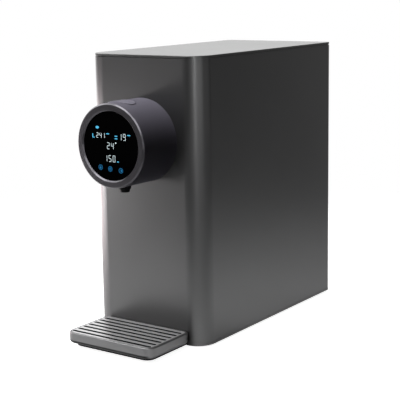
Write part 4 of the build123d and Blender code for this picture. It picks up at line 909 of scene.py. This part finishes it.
# Softboxes: name, place, the point that each faces, size, power, colour,
# and whether it lights matt surfaces too.
SOFTBOXES = (
    ("top right", (0.65, -1.1, 1.6), HEAD_POINT, (0.5, 0.5), 8.0, WHITE, False),
    ("right", (0.95, -1.15, 1.1), HEAD_POINT, (0.45, 0.6), 7.0, WHITE, False),
    ("top left", (-0.85, -0.3, 0.95), (0.0, -0.2, 0.2), (0.6, 0.6), 7.0, WHITE, True),
    ("strip", (0.93, -1.21, 0.31), BEND_POINT, (0.2, 0.18), 1.2, WHITE, False),
    ("front strip", (0.75, -1.4, 0.27), BEND_POINT, (1.0, 0.3), 0.55, WHITE, False),
    ("right strip", (1.35, -0.7, 0.26), BEND_POINT, (1.0, 0.3), 1.5, WHITE, False),
    ("right wall", (1.3, 0.35, 0.26), BEND_POINT, (0.9, 0.3), 0.4, WHITE, False),
    ("left", (-0.75, -0.17, 0.1), (0.0, -0.05, 0.2), (0.85, 0.3), 4.3, (1.0, 0.86, 0.88), False),
    ("front left", (-0.85, -0.6, 0.07), (0.0, -0.1, 0.2), (0.5, 0.14), 1.9, WHITE, False),
    ("left wall", (-0.8, -1.2, 0.35), (0.0, -0.1, 0.25), (1.2, 0.6), 0.5, WHITE, False),
)


def add_light(name, place, target, size, power, tone, matt):
    """A softbox that faces a point; it lights matt surfaces only if it is for them, and gives gloss to all."""
    data = bpy.data.lights.new(name, "AREA")
    data.shape = "RECTANGLE"
    data.size, data.size_y = size
    data.energy = power
    data.color = tone
    light = link(bpy.data.objects.new(name, data))
    light.location = place
    light.rotation_euler = (Vector(target) - Vector(place)).to_track_quat("-Z", "Y").to_euler()
    light.visible_camera = False
    light.visible_diffuse = matt


def add_camera(look):
    """The camera at the photograph's place and turn."""
    azimuth = look.camera_azimuth
    elevation = look.camera_elevation
    flat = math.cos(elevation)
    back = Vector((math.sin(azimuth) * flat, -math.cos(azimuth) * flat, math.sin(elevation)))
    right = Vector((math.cos(azimuth), math.sin(azimuth), 0.0))
    turn = Matrix((right, back.cross(right), back)).transposed()
    turn = turn @ Matrix.Rotation(look.camera_roll, 3, "Z")
    data = bpy.data.cameras.new("camera")
    data.sensor_width = 36.0
    data.lens = look.lens
    camera = link(bpy.data.objects.new("camera", data))
    camera.matrix_world = Matrix.Translation(look.camera_place) @ turn.to_4x4()
    bpy.context.scene.camera = camera


def add_floor(look):
    """A round pale floor that fades out at its edge."""
    shape = bmesh.new()
    bmesh.ops.create_circle(shape, cap_ends=True, segments=96, radius=look.floor_radius)
    mesh = mesh_of(shape, "floor")
    floor = link(bpy.data.objects.new("floor", mesh))
    finish = finish_for("floor")
    speck = finish.noise(40.0 * MM)
    spot = finish.spot()
    reach = finish.add("ShaderNodeVectorMath", {"operation": "LENGTH"}, {0: spot}, output="Value")
    edge = finish.ramp(reach, 0.3 * look.floor_radius, look.floor_radius, 1.0, 0.0)
    flat = finish.add("ShaderNodeVectorMath", {"operation": "NORMALIZE"}, {0: spot})
    turn = look.camera_azimuth
    # In reflections the floor is dimmer towards the camera and brighter close to the object's right side.
    before = finish.along(flat, (math.sin(turn), -math.cos(turn), 0.0))
    beside = finish.along(flat, (math.sin(turn), math.cos(turn), 0.0))
    lee = 1.0 - finish.ramp(before, 0.5, 0.95, 0.0, 0.7) * finish.ramp(reach, 0.22, 0.42)
    flank = 1.0 + finish.ramp(beside, -0.1, 0.8, 0.0, 0.6) * finish.ramp(reach, 0.2, 0.5, 3.0, 1.0)
    seen = finish.add("ShaderNodeLightPath", output="Is Camera Ray")
    glow = look.floor_glow * lee * flank * (1.0 - seen) + look.floor_white * seen
    finish.shade(
        Base_Color=finish.between(speck, tinted(look.floor, 0.99), look.floor),
        Roughness=0.6,
        Alpha=edge,
        Emission_Color=finish.between(glow, BLACK, WHITE),
        Emission_Strength=1.0,
    )
    mesh.materials.append(finish.holder)
    floor.visible_diffuse = False


def add_room(look):
    """A white backdrop behind the object and a dim room elsewhere; the picture's ground is white."""
    world = bpy.data.worlds.new("room")
    bpy.context.scene.world = world
    finish = Finish(world)
    ground = finish.tree.nodes["Background"]
    azimuth = look.camera_azimuth
    way = finish.spot("Generated")
    facing = finish.along(way, (-math.sin(azimuth), math.cos(azimuth), 0.0))
    matt = finish.add("ShaderNodeLightPath", output="Is Diffuse Ray")
    # Matt surfaces get a quarter of the dim room's light.
    behind = finish.ramp(facing, 0.37, 0.9, look.room_level * (1.0 - 0.75 * matt), look.back_level)
    above = finish.ramp(finish.part(way, "Z"), -0.6, -0.25)
    seen = finish.add("ShaderNodeLightPath", output="Is Camera Ray")
    finish.feed(ground.inputs["Color"], (*WHITE, 1.0))
    finish.feed(ground.inputs["Strength"], seen + behind * above * (1.0 - seen))


class DISPENSER_OT_stage(bpy.types.Operator):
    """Floor, softboxes, room and camera"""

    bl_idname = "dispenser.stage"
    bl_label = "Set stage"

    def execute(self, context):
        look = context.scene.dispenser_stage
        context.scene.view_settings.view_transform = "Standard"
        add_floor(look)
        add_room(look)
        key = ("key", (-0.35, -0.95, 1.65), (0.0, -0.1, 0.15), (1.1, 0.9), look.key_power, WHITE, True)
        for softbox in (key, *SOFTBOXES):
            add_light(*softbox)
        add_camera(look)
        return {"FINISHED"}


class DISPENSER_PT_panel(bpy.types.Panel):
    """Sizes, colours and steps of the dispenser's looks"""

    bl_idname = "DISPENSER_PT_panel"
    bl_label = "Dispenser"
    bl_space_type = "VIEW_3D"
    bl_region_type = "UI"
    bl_category = "Dispenser"

    def draw(self, context):
        for step in STEPS:
            self.layout.operator(step.bl_idname)
        for name in LOOKS:
            box = self.layout.box()
            look = getattr(context.scene, name)
            for key in look.__annotations__:
                box.prop(look, key)


LOOKS = {
    "dispenser_cabinet": CabinetLook,
    "dispenser_head": HeadLook,
    "dispenser_tray": TrayLook,
    "dispenser_stage": StageLook,
}
STEPS = (
    DISPENSER_OT_cabinet,
    DISPENSER_OT_head,
    DISPENSER_OT_digits,
    DISPENSER_OT_labels,
    DISPENSER_OT_touch,
    DISPENSER_OT_tray,
    DISPENSER_OT_tank,
    DISPENSER_OT_works,
    DISPENSER_OT_screws,
    DISPENSER_OT_levels,
    DISPENSER_OT_stage,
)


def register():
    """Adds the looks, steps and panel."""
    for group in LOOKS.values():
        bpy.utils.register_class(group)
    for name, group in LOOKS.items():
        setattr(bpy.types.Scene, name, PointerProperty(type=group))
    for step in STEPS:
        bpy.utils.register_class(step)
    bpy.utils.register_class(DISPENSER_PT_panel)


def unregister():
    """Takes the looks, steps and panel away again."""
    bpy.utils.unregister_class(DISPENSER_PT_panel)
    for step in reversed(STEPS):
        bpy.utils.unregister_class(step)
    for name, group in LOOKS.items():
        delattr(bpy.types.Scene, name)
        bpy.utils.unregister_class(group)


def main():
    """Runs every step."""
    register()
    for step in STEPS:
        family, name = step.bl_idname.split(".")
        getattr(getattr(bpy.ops, family), name)()


if __name__ == "__main__":
    main()
